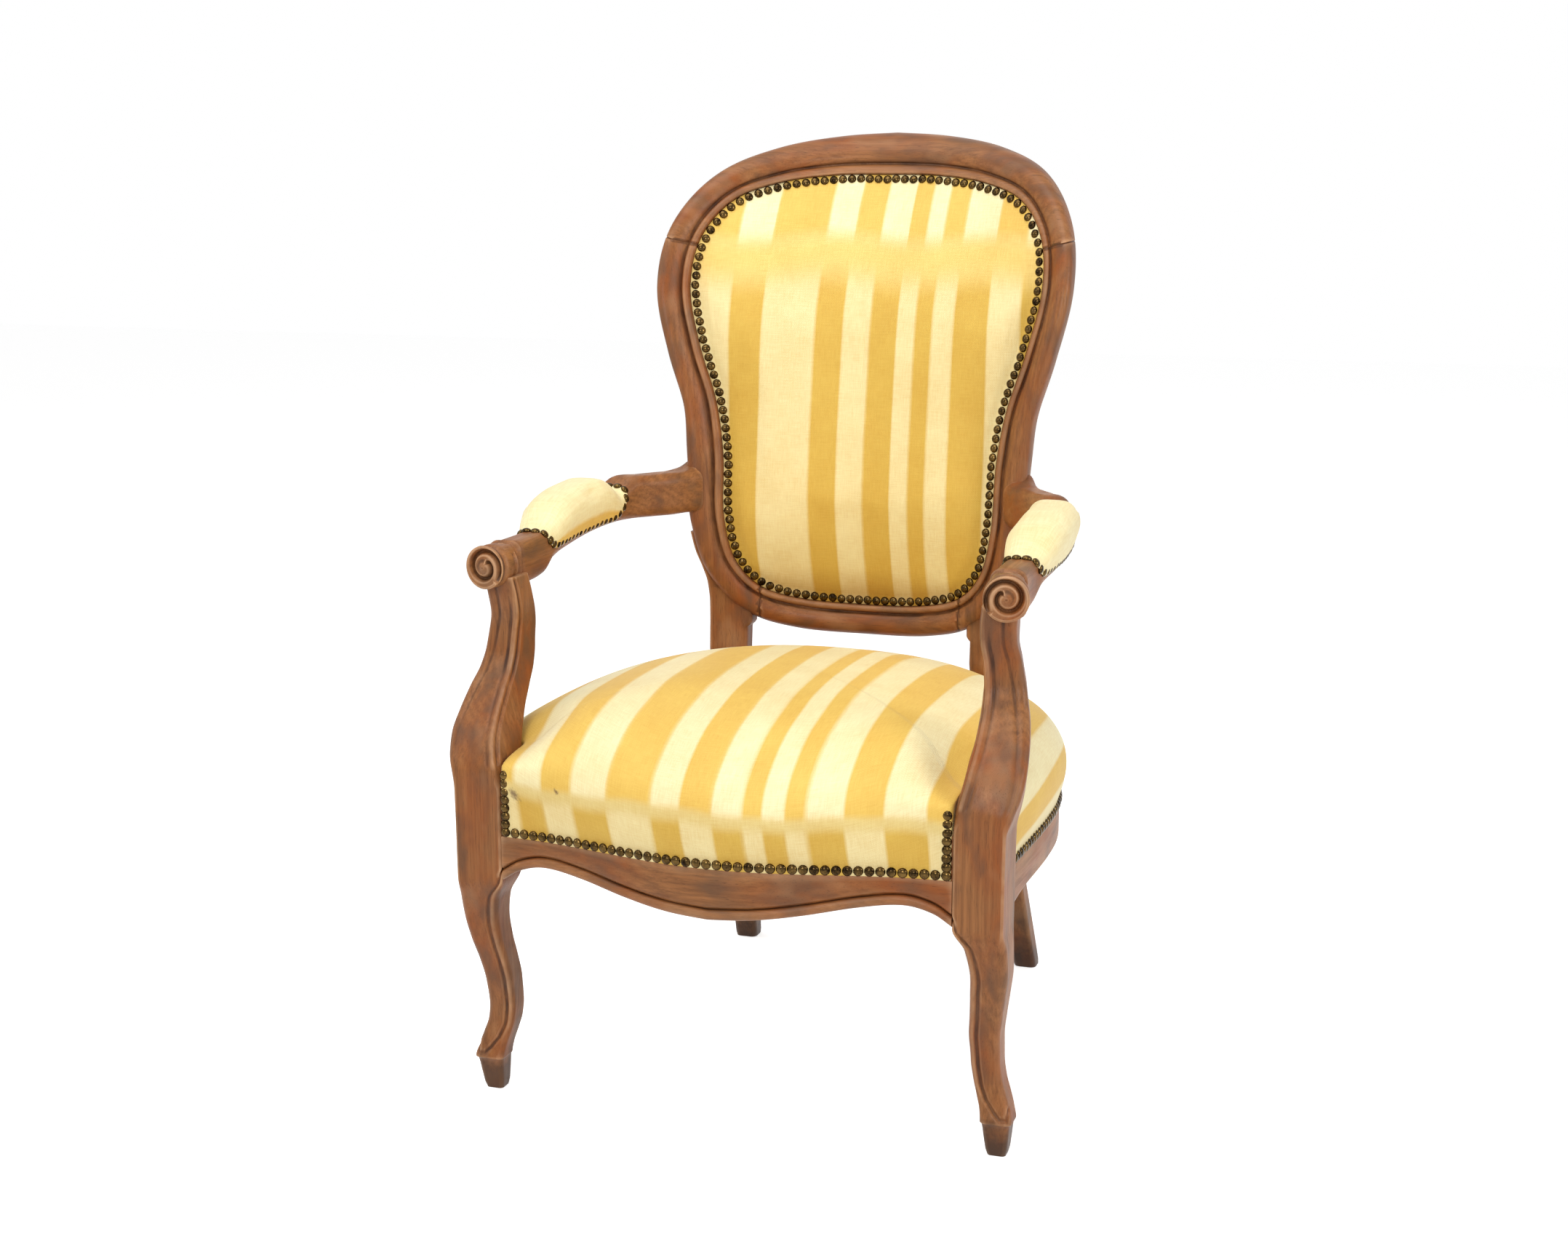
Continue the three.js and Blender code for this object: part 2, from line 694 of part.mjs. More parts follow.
function frontRailTenon(grow) {
  const y = frontPostFace + railThickness * frontTenonShare;
  const halfY = tenonThickness / 2 + grow;
  const halfZ = tenonHeight / 2 + grow;
  return block(
    point(frontPostInnerFace - tenonLength, y - halfY, railMiddle - halfZ),
    point(frontPostInnerFace + tenonLength + grow, y + halfY, railMiddle + halfZ),
  );
}

function sideRailOuter(share) {
  return mix(frontPostOuterFace - sideRailBow, backPostOuter, readTable(sideRailShares, share, 1));
}

const backPostFrontAtRail = backPlace(backPostOuter, backPostFootLevel, ledgeFront - backPostForward);

function sideRailPoint(share, inward, z) {
  const start = frontPostBackFace + fitGap;
  const end = backPostFrontAtRail + frameDepth / 2;
  const stepShare = 0.01;
  const run = end - start;
  const change = sideRailOuter(share + stepShare) - sideRailOuter(share - stepShare);
  const slope = change / (2 * stepShare * run);
  const length = Math.hypot(1, slope);
  const turnShare = Math.min(1, share / sideRailTurnShare);
  return point(
    sideRailOuter(share) - inward / mix(1, length, turnShare),
    mix(start, end, share) - turnShare * inward * slope / length,
    z,
  );
}

function sideRailBody(grow = 0) {
  const rings = [];
  for (let step = 0; step <= sideRailStations; step += 1) {
    const share = step / sideRailStations;
    const drop = railBead * Math.max(0, 1 - share / sideRailDropShare) ** 2;
    const low = sideRailBottom - grow - drop;
    rings.push([
      [sideRailThickness + grow, webbingLevel + fitGap - grow],
      [sideRailThickness - webbingSeat, webbingLevel + fitGap - grow],
      [sideRailThickness - webbingSeat, low], [beadRelief - grow, low], [-grow, low + beadRelief],
      [-grow, railNailHeight], [railRebate - grow, railNailHeight],
      [railRebate - grow, railTop - railRebate + grow], [2 * railRebate - grow, railTop + grow],
      [sideRailThickness + grow, railTop + grow],
    ].map(([inward, z]) => sideRailPoint(share, inward, z)));
  }
  return loft(rings);
}

function sideRailFrontTenon(grow) {
  const halfX = tenonThickness / 2 + grow;
  const halfZ = tenonHeight / 2 + grow;
  return block(
    point(frontPostOut - halfX, frontPostBackFace - tenonLength - grow, railMiddle - halfZ),
    point(frontPostOut + halfX, frontPostBackFace + tenonLength, railMiddle + halfZ),
  );
}

function sideRailTenon(grow) {
  const end = sideRailPoint(1, sideRailThickness / 2, railMiddle);
  const halfZ = tenonHeight / 2 + grow;
  return block(
    point(end.x - tenonThickness - grow, end.y - tenonLength, railMiddle - halfZ),
    point(end.x + tenonThickness / 4 + grow, end.y + tenonThickness / 2 + grow, railMiddle + halfZ),
  );
}

function sideRailRight() {
  const trimmed = cut(sideRailBody(), backPostLeg(fitGap), frontPostBody(fitGap));
  return join(trimmed, sideRailFrontTenon(0), sideRailTenon(0));
}

const backRailMiddleY = backPlace(backPostInner, backPostFootLevel, frameDepth / 2 - backPostForward);
const backRailFront = backRailMiddleY - backRailThickness / 2;
const backRailRear = backRailMiddleY + backRailThickness / 2;

function backRailBody(grow = 0) {
  const ends = backPostInner + frontPostSide / 2;
  const seat = webbingSeat / 2;
  const front = backRailMiddleY - backRailThickness / 2 - grow;
  const rear = backRailMiddleY + backRailThickness / 2 + grow;
  const upper = block(point(-ends, front, webbingLevel + fitGap - grow), point(ends, rear, railTop + grow));
  const lower = block(
    point(-ends, front + seat, sideRailBottom - grow),
    point(ends, rear, webbingLevel + cutOverrun),
  );
  return join(upper, lower);
}

function backRailTenon(grow) {
  const halfY = tenonThickness / 2 + grow;
  const halfZ = tenonHeight / 2 + grow;
  return block(
    point(backPostInner - tenonLength, backRailMiddleY - halfY, railMiddle - halfZ),
    point(backPostInner + tenonLength + grow, backRailMiddleY + halfY, railMiddle + halfZ),
  );
}

function backSeatRail() {
  const right = backPostLeg(fitGap);
  const trimmed = cut(backRailBody(), right, mirrored(right));
  const tenon = backRailTenon(0);
  return join(trimmed, tenon, mirrored(tenon));
}

const backBlockShare = 0.8;

function cornerBlock(corners) {
  const low = railMiddle - cornerBlockHeight / 2;
  const shape = new THREE.Shape(corners.map(([x, y]) => new THREE.Vector2(x, y)));
  const geometry = new THREE.ExtrudeGeometry(shape, { depth: cornerBlockHeight, bevelEnabled: false });
  geometry.translate(0, 0, low);
  return geometry;
}

function frontCornerBlock() {
  const side = sideRailOuter(0) - sideRailThickness;
  const front = frontPostFace + railThickness;
  const body = cornerBlock([
    [side, frontPostBackFace], [side, frontPostBackFace + cornerBlockReach],
    [side - sideRailThickness / 2, frontPostBackFace + cornerBlockReach],
    [frontPostInnerFace - cornerBlockReach, front + railThickness / 2],
    [frontPostInnerFace - cornerBlockReach, front - railThickness / 2],
    [frontPostInnerFace, front - railThickness / 2], [frontPostInnerFace, frontPostBackFace],
  ]);
  return cut(body, frontRailBody(fitGap, frontPostInnerFace), sideRailBody(fitGap), frontPostBody(fitGap));
}

function backCornerBlock() {
  const reach = cornerBlockReach;
  const ahead = sideRailPoint(backBlockShare, sideRailThickness, 0);
  const body = cornerBlock([
    [backPostInner + webbingSeat, backRailMiddleY], [backPostInner - reach, backRailMiddleY],
    [backPostInner - reach, backRailFront - webbingSeat], [ahead.x - webbingSeat, ahead.y],
    [ahead.x + webbingSeat, ahead.y], [backPostOuter, backPostFrontAtRail],
  ]);
  return cut(body, backRailBody(fitGap), sideRailBody(fitGap), backPostLeg(fitGap), sideRailTenon(fitGap));
}

// Arms
const armRun = armRearBehind + armFrontAhead;
const armCornerShare = 0.28;

function armRow(share) {
  const frontTop = armScrollHeight + armScrollRadius;
  return {
    x: armRearOut + armBow * readTable(armShares, share, 1),
    y: armRearBehind - armRun * share,
    top: mix(armRearTop, frontTop, readTable(armShares, share, 2)),
    height: armHeight * readTable(armShares, share, 3),
    width: armWidth * readTable(armShares, share, 4),
  };
}

function armBody(grow = 0) {
  const rings = [];
  const frontEnd = 1 - armScrollLength / 2 / armRun;
  for (let step = 0; step <= armStations; step += 1) {
    const row = armRow(frontEnd * step / armStations);
    const section = roundedSection(row.width + 2 * grow, row.height + 2 * grow, row.width * armCornerShare);
    rings.push(section.map(([x, z]) => point(row.x + x, row.y, row.top - row.height / 2 + z)));
  }
  return loft(rings);
}

// The scroll: a short turned roll with a round eye in a groove. Radius share, length share
const scrollProfileShares = [
  [0, 0.08], [0.3, 0.08], [0.42, 0.02], [0.52, 0.14], [0.66, 0.15], [0.76, 0.01], [0.9, 0.01],
  [1, 0.14], [1, 0.55], [0.94, 0.68], [0.96, 1], [0, 1],
];

function armScroll() {
  const lathe = new THREE.LatheGeometry(
    scrollProfileShares.map(([out, back]) => (
      new THREE.Vector2(out * armScrollRadius, back * armScrollLength))),
    scrollSegments,
  );
  lathe.rotateZ(THREE.MathUtils.degToRad(supportTurn));
  lathe.translate(armScrollOut, -armFrontAhead, armScrollHeight);
  return lathe;
}

// A screw from the rear of the back post, outward and forward into the end of the arm
function armScrew(grow) {
  const shaft = armScrewRadius + grow;
  const head = armScrewHead + grow;
  const behind = grow ? cutOverrun : 0;
  const headLength = armScrewRadius + grow;
  const lathe = new THREE.LatheGeometry([
    [0, -behind], [head, -behind], [head, headLength], [shaft, headLength],
    [shaft, armScrewLength + grow], [0, armScrewLength + grow],
  ].map(([out, along]) => new THREE.Vector2(out, along)), screwSegments);
  const z = (armRearTop + armScrollHeight) / 2;
  const x = armJointOut - frameDepth / 2;
  lathe.rotateZ(Math.PI + THREE.MathUtils.degToRad(armScrewTurn));
  lathe.translate(x, backPlace(x, z, frameDepth - frameCrown - fitGap), z);
  return lathe;
}

function armRight() {
  const whole = join(armBody(), armScroll());
  const stile = frameMember(postStartTurn, shoulderTurn - gapWay / 2, fitGap);
  const beside = block(
    point(0, -armRearBehind, railTop),
    point(armJointOut, armRearBehind * 2, frameTop),
  );
  return cut(whole, stile, beside, frontPostBody(fitGap), supportTenon(fitGap), armScrew(fitGap));
}

// Cushions and covers: rings of one size between two poles, or capped flat where there is no pole.
// The first turnedSteps rows of faces are split along their other diagonal.
function skin(rings, firstPole, lastPole, turnedSteps = 0) {
  const points = rings.flat();
  const size = rings[0].length;
  const faces = [];
  for (let step = 0; step + 1 < rings.length; step += 1) {
    for (let side = 0; side < size; side += 1) {
      const a = step * size + side;
      const b = step * size + ((side + 1) % size);
      if (step < turnedSteps) faces.push([a, b, a + size], [b, b + size, a + size]);
      else faces.push([a, b, b + size], [a, b + size, a + size]);
    }
  }
  const lastOffset = (rings.length - 1) * size;
  closeEnd(points, faces, rings[0], 0, firstPole, true);
  closeEnd(points, faces, rings[rings.length - 1], lastOffset, lastPole, false);
  return bodyFrom(points, faces);
}

function closeEnd(points, faces, ring, offset, pole, turned) {
  if (!pole) {
    capTriangles(ring, offset).forEach(([a, b, c]) => faces.push(turned ? [a, c, b] : [a, b, c]));
    return;
  }
  points.push(pole);
  const tip = points.length - 1;
  ring.forEach((spot, side) => {
    const next = (side + 1) % ring.length;
    faces.push(turned ? [offset + next, offset + side, tip] : [offset + side, offset + next, tip]);
  });
}

// A rounded strip, such as a row of touching nail heads, along points that each have a normal
function strip(spots, normals, closed, profile) {
  const rings = spots.map((spot, index) => {
    const last = spots.length - 1;
    const before = closed ? spots[(index + last) % spots.length] : spots[Math.max(0, index - 1)];
    const after = closed ? spots[(index + 1) % spots.length] : spots[Math.min(last, index + 1)];
    const arriving = new THREE.Vector3().subVectors(spot, before).normalize();
    const leaving = new THREE.Vector3().subVectors(after, spot).normalize();
    const tangent = new THREE.Vector3().addVectors(arriving, leaving).normalize();
    const miter = arriving.length() ? Math.max(tangent.dot(arriving), Math.SQRT1_2) : 1;
    const side = new THREE.Vector3().crossVectors(tangent, normals[index]).normalize();
    const half = nailDiameter / 2 / miter;
    return profile.map(([across, up]) => spot.clone()
      .addScaledVector(side, across * half)
      .addScaledVector(normals[index], fitGap + up * nailHeight));
  });
  return loft(rings, closed);
}

// Seat upholstery. The cover ends in the rebate of the rails, under the nails.
const seatUnderEdge = railNailHeight + fitGap;
const seatNailMiddle = railNailHeight + nailDiameter / 2;
const seatOverNails = railNailHeight + nailDiameter + fitGap;
const seatTop = railTop + seatCrown;
const seatMiddleY = (frontPostFace + backRailMiddleY) / 2;
const coverOutside = railRebate - fitGap - coverThickness;
const frontRailEnd = frontPostInnerFace - fitGap;

function frontStation(step) {
  return mix(-frontRailEnd, frontRailEnd, step / railStations);
}

// The edge of the seat from the front's left end over the right side to the back and round to the
// left side, drawn in from the rails' outer faces
function seatEdge(inward) {
  const front = [];
  for (let step = 0; step <= railStations; step += 1) {
    const x = frontStation(step);
    front.push([x, frontRailFace(x) + inward]);
  }
  const side = [[frontPostOuterFace - sideRailBow - inward, frontPostFace + inward]];
  for (let step = 0; step <= sideRailStations; step += 1) {
    const spot = sideRailPoint(step / sideRailStations, inward, 0);
    side.push([spot.x, spot.y]);
  }
  const rear = backRailRear + railRebate - inward;
  side.push([backPostInner, rear], [backPostInner / 2, rear]);
  const left = side.slice().reverse().map(([x, y]) => [-x, y]);
  return [...front, ...side, [0, rear], ...left];
}

const seatFlatEdge = seatEdge(0);

// The cover lies flat beside the posts and swells between them
function quiltShare([x, y]) {
  const atFrontFace = Math.hypot(Math.abs(x) - frontPostInnerFace, y - frontPostFace);
  const atSideFace = Math.hypot(Math.abs(x) - frontPostOuterFace, y - frontPostBackFace);
  const atBackPost = Math.hypot(Math.abs(x) - backPostOuter, y - backPostFrontAtRail);
  const share = Math.min(1, Math.min(atFrontFace, atSideFace, atBackPost) / cornerQuiltReach);
  return share * share * (3 - 2 * share);
}

// A closed cushion as large as the outside of the cover, drawn in by inset
function seatDome(inset, bottom) {
  const edge = seatEdge(coverOutside + inset);
  const swollen = seatEdge(coverOutside + inset - seatBulge);
  const height = seatTop - seatOverNails - inset;
  const rings = [bottom, seatOverNails].map((z) => edge.map(([x, y]) => point(x, y, z)));
  seatCushionShares.forEach(([up, bulge, inward]) => {
    rings.push(edge.map(([x, y], index) => {
      const share = bulge * quiltShare(seatFlatEdge[index]);
      const spotX = mix(x, swollen[index][0], share) * (1 - inward);
      const spotY = mix(mix(y, swollen[index][1], share), seatMiddleY, inward);
      return point(spotX, spotY, seatOverNails + cutOverrun + (height - cutOverrun) * up);
    }));
  });
  return skin(rings, undefined, point(0, seatMiddleY, seatTop - inset));
}

function seatCornerCuts() {
  const front = block(
    point(frontPostInnerFace - fitGap, frontPostFace - seatBulge * 2, railNailHeight - cutOverrun),
    point(frontPostOuterFace + seatBulge * 2, frontPostBackFace + fitGap, seatTop + cutOverrun),
  );
  const back = block(
    point(backPostInner - fitGap, backPostFrontAtRail - fitGap, railNailHeight - cutOverrun),
    point(sideRailOuter(1), backFootBehind, seatTop + cutOverrun),
  );
  const posts = [front, back, frontPostBody(fitGap), backPostLeg(fitGap)];
  return [...posts, ...posts.map(mirrored)];
}

function seatCover() {
  const inside = seatDome(coverThickness, seatUnderEdge - cutOverrun);
  return cut(seatDome(0, seatUnderEdge), inside, ...seatCornerCuts());
}

function seatStuffing() {
  const bottom = railTop + canvasThickness + 2 * fitGap;
  const under = block(
    point(-frontPostAhead * 2, -frontPostAhead * 2, 0),
    point(frontPostAhead * 2, frontPostAhead * 2, bottom),
  );
  return cut(seatDome(coverThickness + fitGap, seatUnderEdge), under, ...seatCornerCuts());
}

// The hessian lies on the rails over the springs
function springHessian() {
  const edge = seatEdge(sideRailThickness / 2);
  const bottom = railTop + fitGap;
  const sheet = loft([bottom, bottom + canvasThickness].map((z) => edge.map(([x, y]) => point(x, y, z))));
  return cut(sheet, ...seatCornerCuts());
}

// Webbing under the seat: its straps lie in the rebate below the rails
function seatStraps() {
  const straps = [];
  const inside = seatEdge(sideRailThickness - webbingSeat + fitGap);
  const limit = loft([0, railTop].map((z) => inside.map(([x, y]) => point(x, y, z))));
  const clearOf = [frontPostBody(fitGap), backPostLeg(fitGap), sideRailBody(fitGap)];
  const cutters = [...clearOf, ...clearOf.map(mirrored), frontRailBody(fitGap), backRailBody(fitGap)];
  const far = frontPostAhead * 2;
  const lengthwise = frontPostInnerFace - cornerBlockReach / 2;
  for (let index = 0; index < seatLongStrapCount; index += 1) {
    const x = mix(-lengthwise, lengthwise, (index + 1 / 2) / seatLongStrapCount);
    const strap = block(
      point(x - strapWidth / 2, -far, webbingLevel - strapThickness),
      point(x + strapWidth / 2, far, webbingLevel),
    );
    straps.push([`seat_webbing_long_${index + 1}`, cut(keepInside(strap, limit), ...cutters)]);
  }
  const crossLevel = webbingLevel - strapThickness - fitGap;
  for (let index = 0; index < seatCrossStrapCount; index += 1) {
    const y = mix(frontPostBackFace, backPostFrontAtRail, (index + 1 / 2) / seatCrossStrapCount);
    const strap = block(
      point(-far, y - strapWidth / 2, crossLevel - strapThickness),
      point(far, y + strapWidth / 2, crossLevel),
    );
    straps.push([`seat_webbing_cross_${index + 1}`, cut(keepInside(strap, limit), ...cutters)]);
  }
  return straps;
}

// A waisted coil spring between the webbing and the hessian
function coilSpring(x, y) {
  const low = webbingLevel + fitGap + springWire / 2;
  const high = railTop - springWire / 2;
  const steps = springTurns * springSteps;
  const rings = [];
  for (let step = 0; step <= steps; step += 1) {
    const share = step / steps;
    const angle = share * springTurns * 2 * Math.PI;
    const radius = springRadius * mix(1, springWaistShare, Math.sin(share * Math.PI));
    const ring = [];
    for (let side = 0; side < springSides; side += 1) {
      const turn = (side / springSides) * 2 * Math.PI;
      const out = radius + (springWire / 2) * Math.cos(turn);
      const z = mix(low, high, share) + (springWire / 2) * Math.sin(turn);
      ring.push(point(x + out * Math.cos(angle), y + out * Math.sin(angle), z));
    }
    rings.push(ring);
  }
  return loft(rings);
}

const springFrontShare = 0.22;
const springRearShare = 0.82;

function seatSprings() {
  const reach = frontPostInnerFace / 2;
  const front = mix(frontPostBackFace, backPostFrontAtRail, springFrontShare);
  const rear = mix(frontPostBackFace, backPostFrontAtRail, springRearShare);
  return [[-reach, front], [reach, front], [0, (front + rear) / 2], [-reach, rear], [reach, rear]];
}

// Nail rows of the seat, cut to the cover that they hold
function seatNails(spots, normals) {
  const row = strip(spots, normals, false, deepNailProfileShares);
  const posts = [frontPostBody(fitGap), backPostLeg(fitGap)];
  const rail = block(
    point(-frontPostAhead * 2, -frontPostAhead * 2, 0),
    point(frontPostAhead * 2, frontPostAhead * 2, railNailHeight + fitGap),
  );
  const cover = seatDome(-fitGap, railNailHeight - cutOverrun);
  return cut(row, cover, rail, ...posts, ...posts.map(mirrored));
}

function seatFrontNails() {
  const spots = [];
  const edge = frontRailEnd - nailDiameter / 2;
  const rises = 3;
  const edgeY = frontRailFace(edge) + coverOutside;
  for (let step = 0; step < rises; step += 1) {
    spots.push(point(edge, edgeY, mix(cornerNailTop, seatNailMiddle, step / rises)));
  }
  spots.push(point(edge, edgeY, seatNailMiddle));
  const across = [];
  for (let step = 1; step < railStations; step += 1) {
    const x = frontStation(step);
    across.push(point(x, frontRailFace(x) + coverOutside, seatNailMiddle));
  }
  const left = spots.map((spot) => point(-spot.x, spot.y, spot.z));
  const all = [...left, ...across, ...spots.reverse()];
  return seatNails(all, all.map(() => point(0, -1, 0)));
}

function seatSideNails() {
  const spots = [];
  const normals = [];
  const step = 1 / sideRailStations;
  for (let share = 0; share < 1; share += step) {
    const spot = sideRailPoint(share, coverOutside, seatNailMiddle);
    const out = sideRailPoint(share, coverOutside - railRebate, seatNailMiddle);
    spots.push(spot);
    normals.push(new THREE.Vector3().subVectors(out, spot).normalize());
  }
  return seatNails(spots, normals);
}

function seatBackNails() {
  const y = backRailRear + railRebate - coverOutside;
  const edge = backPostInner + frontPostSide / 2;
  const spots = [point(-edge, y, seatNailMiddle), point(edge, y, seatNailMiddle)];
  return seatNails(spots, spots.map(() => point(0, 1, 0)));
}

// Back upholstery: rings around the back, drawn in towards its middle
const backMiddleZ = nailLineBottom + nailLineHeight / 2;

function backRing(outward, depth, inward = 0) {
  const ring = [];
  for (let step = 0; step < loopStations; step += 1) {
    const frame = nailLineFrame(step / loopStations);
    const x = (frame.place.x + frame.outX * outward) * (1 - inward);
    const z = mix(frame.place.z + frame.outZ * outward, backMiddleZ, inward);
    ring.push(point(x, backPlace(x, z, depth), z));
  }
  return ring;
}

function backMiddle(depth) {
  return point(0, backPlace(0, backMiddleZ, depth), backMiddleZ);
}

// A skin through the rings of its front and then of its rear, both listed from the rim inward
function backSkin(frontRings, frontDepth, rearRings, rearDepth) {
  const rings = [...frontRings.slice().reverse(), ...rearRings];
  return skin(rings, backMiddle(frontDepth), backMiddle(rearDepth), frontRings.length - 1);
}

function backSheet(outward, front, rear) {
  const frontRings = backSheetShares.map((inward) => backRing(outward, front, inward));
  const rearRings = backSheetShares.map((inward) => backRing(outward, rear, inward));
  return backSkin(frontRings, front, rearRings, rear);
}

const facetGap = 2 * fitGap;
const coverRim = nailBorder - facetGap;
const crownEdge = -(nailDiameter / 2 + fitGap);
const coverBack = ledgeFront - facetGap;
const openingEdge = nailBorder - ledgeWidth - fitGap;

const rearCoverFront = ledgeFront + ledgeThickness + facetGap;
const rearCoverBack = rearCoverFront + coverThickness;

function crownRings(depth) {
  return backCushionShares.map(([inward, crown]) => backRing(crownEdge, depth - crown * backCrown, inward));
}

function backCoverFront() {
  const front = coverBack - coverThickness;
  const frontRings = [backRing(coverRim, front), ...crownRings(front)];
  const rearRings = [backRing(coverRim, coverBack), ...crownRings(coverBack)];
  return backSkin(frontRings, front - backCrown, rearRings, coverBack - backCrown);
}

function backCoverRear() {
  const rings = [rearCoverFront, rearCoverBack].map((depth) => (
    [backRing(coverRim, depth), ...backSheetShares.map((inward) => backRing(crownEdge, depth, inward))]));
  return backSkin(rings[0], rearCoverFront, rings[1], rearCoverBack);
}

// The stuffing fills the cushion and, inside the ledge, the depth down to the canvas
function backStuffing() {
  const front = coverBack + fitGap;
  const rear = backCanvasDepth - fitGap;
  const crown = crownRings(front).slice(1);
  const rearRings = backSheetShares.map((inward) => backRing(openingEdge, rear, inward));
  return backSkin([backRing(openingEdge, front), ...crown], front - backCrown, rearRings, rear);
}

// A strap of webbing behind the canvas
function backStrap(x) {
  const front = backCanvasDepth + canvasThickness + fitGap;
  const band = block(
    point(x - strapWidth / 2, -backFootBehind, nailLineBottom - frameWidth),
    point(x + strapWidth / 2, backFootBehind * 2, frameTop),
  );
  return keepInside(backSheet(openingEdge, front, front + strapThickness), band);
}

function backNails(depth, forward) {
  const spots = backRing(0, depth);
  const normals = spots.map(({ x, z }) => {
    const slopeX = (backPlace(x + fitGap, z, 0) - backPlace(x - fitGap, z, 0)) / (2 * fitGap);
    const slopeZ = (backPlace(x, z + fitGap, 0) - backPlace(x, z - fitGap, 0)) / (2 * fitGap);
    return point(forward * slopeX, -forward, forward * slopeZ).normalize();
  });
  return strip(spots, normals, true, nailProfileShares);
}

// Arm pads
function padPlace(share) {
  const y = mix(padRearBehind, -padFrontAhead, share);
  const row = armRow((armRearBehind - y) / armRun);
  const crown = padCrown * readTable(padShares, share, 1);
  const swell = padSwell * readTable(padShares, share, 2);
  return { ...row, crown, swell };
}

// Half width share and crown share of a pad's section, from the outer side over the top
const padSectionShares = [[-1, 0.1], [-0.86, 0.62], [0, 1], [0.86, 0.62], [1, 0.1]];

function padRing(share, grow, skirt) {
  const place = padPlace(share);
  const foot = place.width / 2 + fitGap + grow;
  const half = foot + place.swell;
  const overNails = Math.max(nailDiameter + fitGap - padSkirt, fitGap / 2 - skirt);
  const ring = [[-foot, -skirt], [-foot, overNails]];
  padSectionShares.forEach(([across, up]) => ring.push([across * half, up * place.crown + grow]));
  ring.push([foot, overNails], [foot, -skirt]);
  return ring.map(([x, z]) => point(place.x + x, place.y, place.top + z));
}

function padBody(grow, skirt, overrun) {
  const rings = [];
  for (let step = 0; step <= padStations; step += 1) rings.push(padRing(step / padStations, grow, skirt));
  rings[0].forEach((spot) => { spot.y += overrun; });
  rings[padStations].forEach((spot) => { spot.y -= overrun; });
  return loft(rings);
}

function padStuffing() {
  return cut(padBody(0, fitGap, 0), armBody(fitGap));
}

function padCover() {
  const outside = padBody(fitGap + coverThickness, padSkirt, fitGap + coverThickness);
  const inside = padBody(fitGap, padSkirt + cutOverrun, fitGap);
  return cut(outside, inside, armBody(fitGap));
}

// The nails run along both lower edges of a pad and over the arm at its ends
function padNails() {
  const spots = [];
  const normals = [];
  const reach = fitGap + coverThickness;
  const low = nailDiameter / 2 - padSkirt;
  const addEnd = (y, fromSide) => {
    const row = armRow((armRearBehind - y) / armRun);
    const corner = row.width * armCornerShare;
    [fromSide, 0, -fromSide].forEach((side) => {
      const drop = side ? corner * (1 - Math.SQRT1_2) : 0;
      spots.push(point(row.x + side * (row.width / 2 - drop), y, row.top - drop));
      normals.push(point(side, 0, 1).normalize());
    });
  };
  const addSide = (side, first, last) => {
    for (let step = 0; step <= padStations; step += 1) {
      const place = padPlace(mix(first, last, step / padStations));
      spots.push(point(place.x + side * (place.width / 2 + reach), place.y, place.top + low));
      normals.push(point(side, 0, 0));
    }
  };
  addSide(1, 0, 1);
  addEnd(-padFrontAhead - reach - nailDiameter / 2, 1);
  addSide(-1, 1, 0);
  addEnd(padRearBehind + reach + nailDiameter / 2, -1);
  const row = strip(spots, normals, true, deepNailProfileShares);
  return cut(row, padBody(reach + fitGap, padSkirt + cutOverrun, reach + fitGap), armBody(fitGap));
}

addPiece('crest_rail', crestRail(), walnut);
addPiece('lower_back_rail', lowerBackRail(), walnut);
addPair('back_post', backPostRight(), walnut);
addPair('front_post', frontPostRight(), walnut);
addPair('arm', armRight(), walnut);
addPair('arm_screw', armScrew(0), steel);
const frontTenon = frontRailTenon(0);
addPiece('front_seat_rail', join(frontRailBody(), frontTenon, mirrored(frontTenon)), walnut);
addPair('side_seat_rail', sideRailRight(), walnut);
addPiece('back_seat_rail', backSeatRail(), beech);
addPair('front_corner_block', frontCornerBlock(), beech);
addPair('back_corner_block', backCornerBlock(), beech);
seatStraps().forEach(([name, geometry]) => addPiece(name, geometry, jute));
seatSprings().forEach(([x, y], index) => addPiece(`seat_spring_${index + 1}`, coilSpring(x, y), steel));
addPiece('spring_hessian', springHessian(), jute);
addPiece('seat_stuffing', seatStuffing(), horsehair);
addPiece('seat_cover', seatCover(), fabric);
addPiece('seat_nails_front', seatFrontNails(), bronze);
addPair('seat_nails', seatSideNails(), bronze);
addPiece('seat_nails_back', seatBackNails(), bronze);
const backStrapReach = nailLineHalfWidth * backStrapShare;
for (let index = 0; index < backStrapCount; index += 1) {
  const x = mix(-backStrapReach, backStrapReach, (index + 1 / 2) / backStrapCount);
  addPiece(`back_webbing_${index + 1}`, backStrap(x), jute);
}
addPiece('back_canvas', backSheet(openingEdge, backCanvasDepth, backCanvasDepth + canvasThickness), jute);
addPiece('back_stuffing', backStuffing(), horsehair);
addPiece('back_cover_front', backCoverFront(), fabric);
addPiece('back_cover_rear', backCoverRear(), fabric);
addPiece('back_nails_front', backNails(coverBack - coverThickness, 1), bronze);
addPiece('back_nails_rear', backNails(rearCoverBack + fitGap, -1), bronze);
addPair('arm_pad_stuffing', padStuffing(), horsehair);
addPair('arm_pad_cover', padCover(), fabric);
addPair('arm_pad_nails', padNails(), bronze);

// The origin is on the floor, under the middle of the whole chair
const bounds = new THREE.Box3().setFromObject(group);
group.position.y = -(bounds.min.y + bounds.max.y) / 2;

export default group;
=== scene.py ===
"""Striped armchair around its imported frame. Lengths are in millimetres until a mesh is made."""
import math

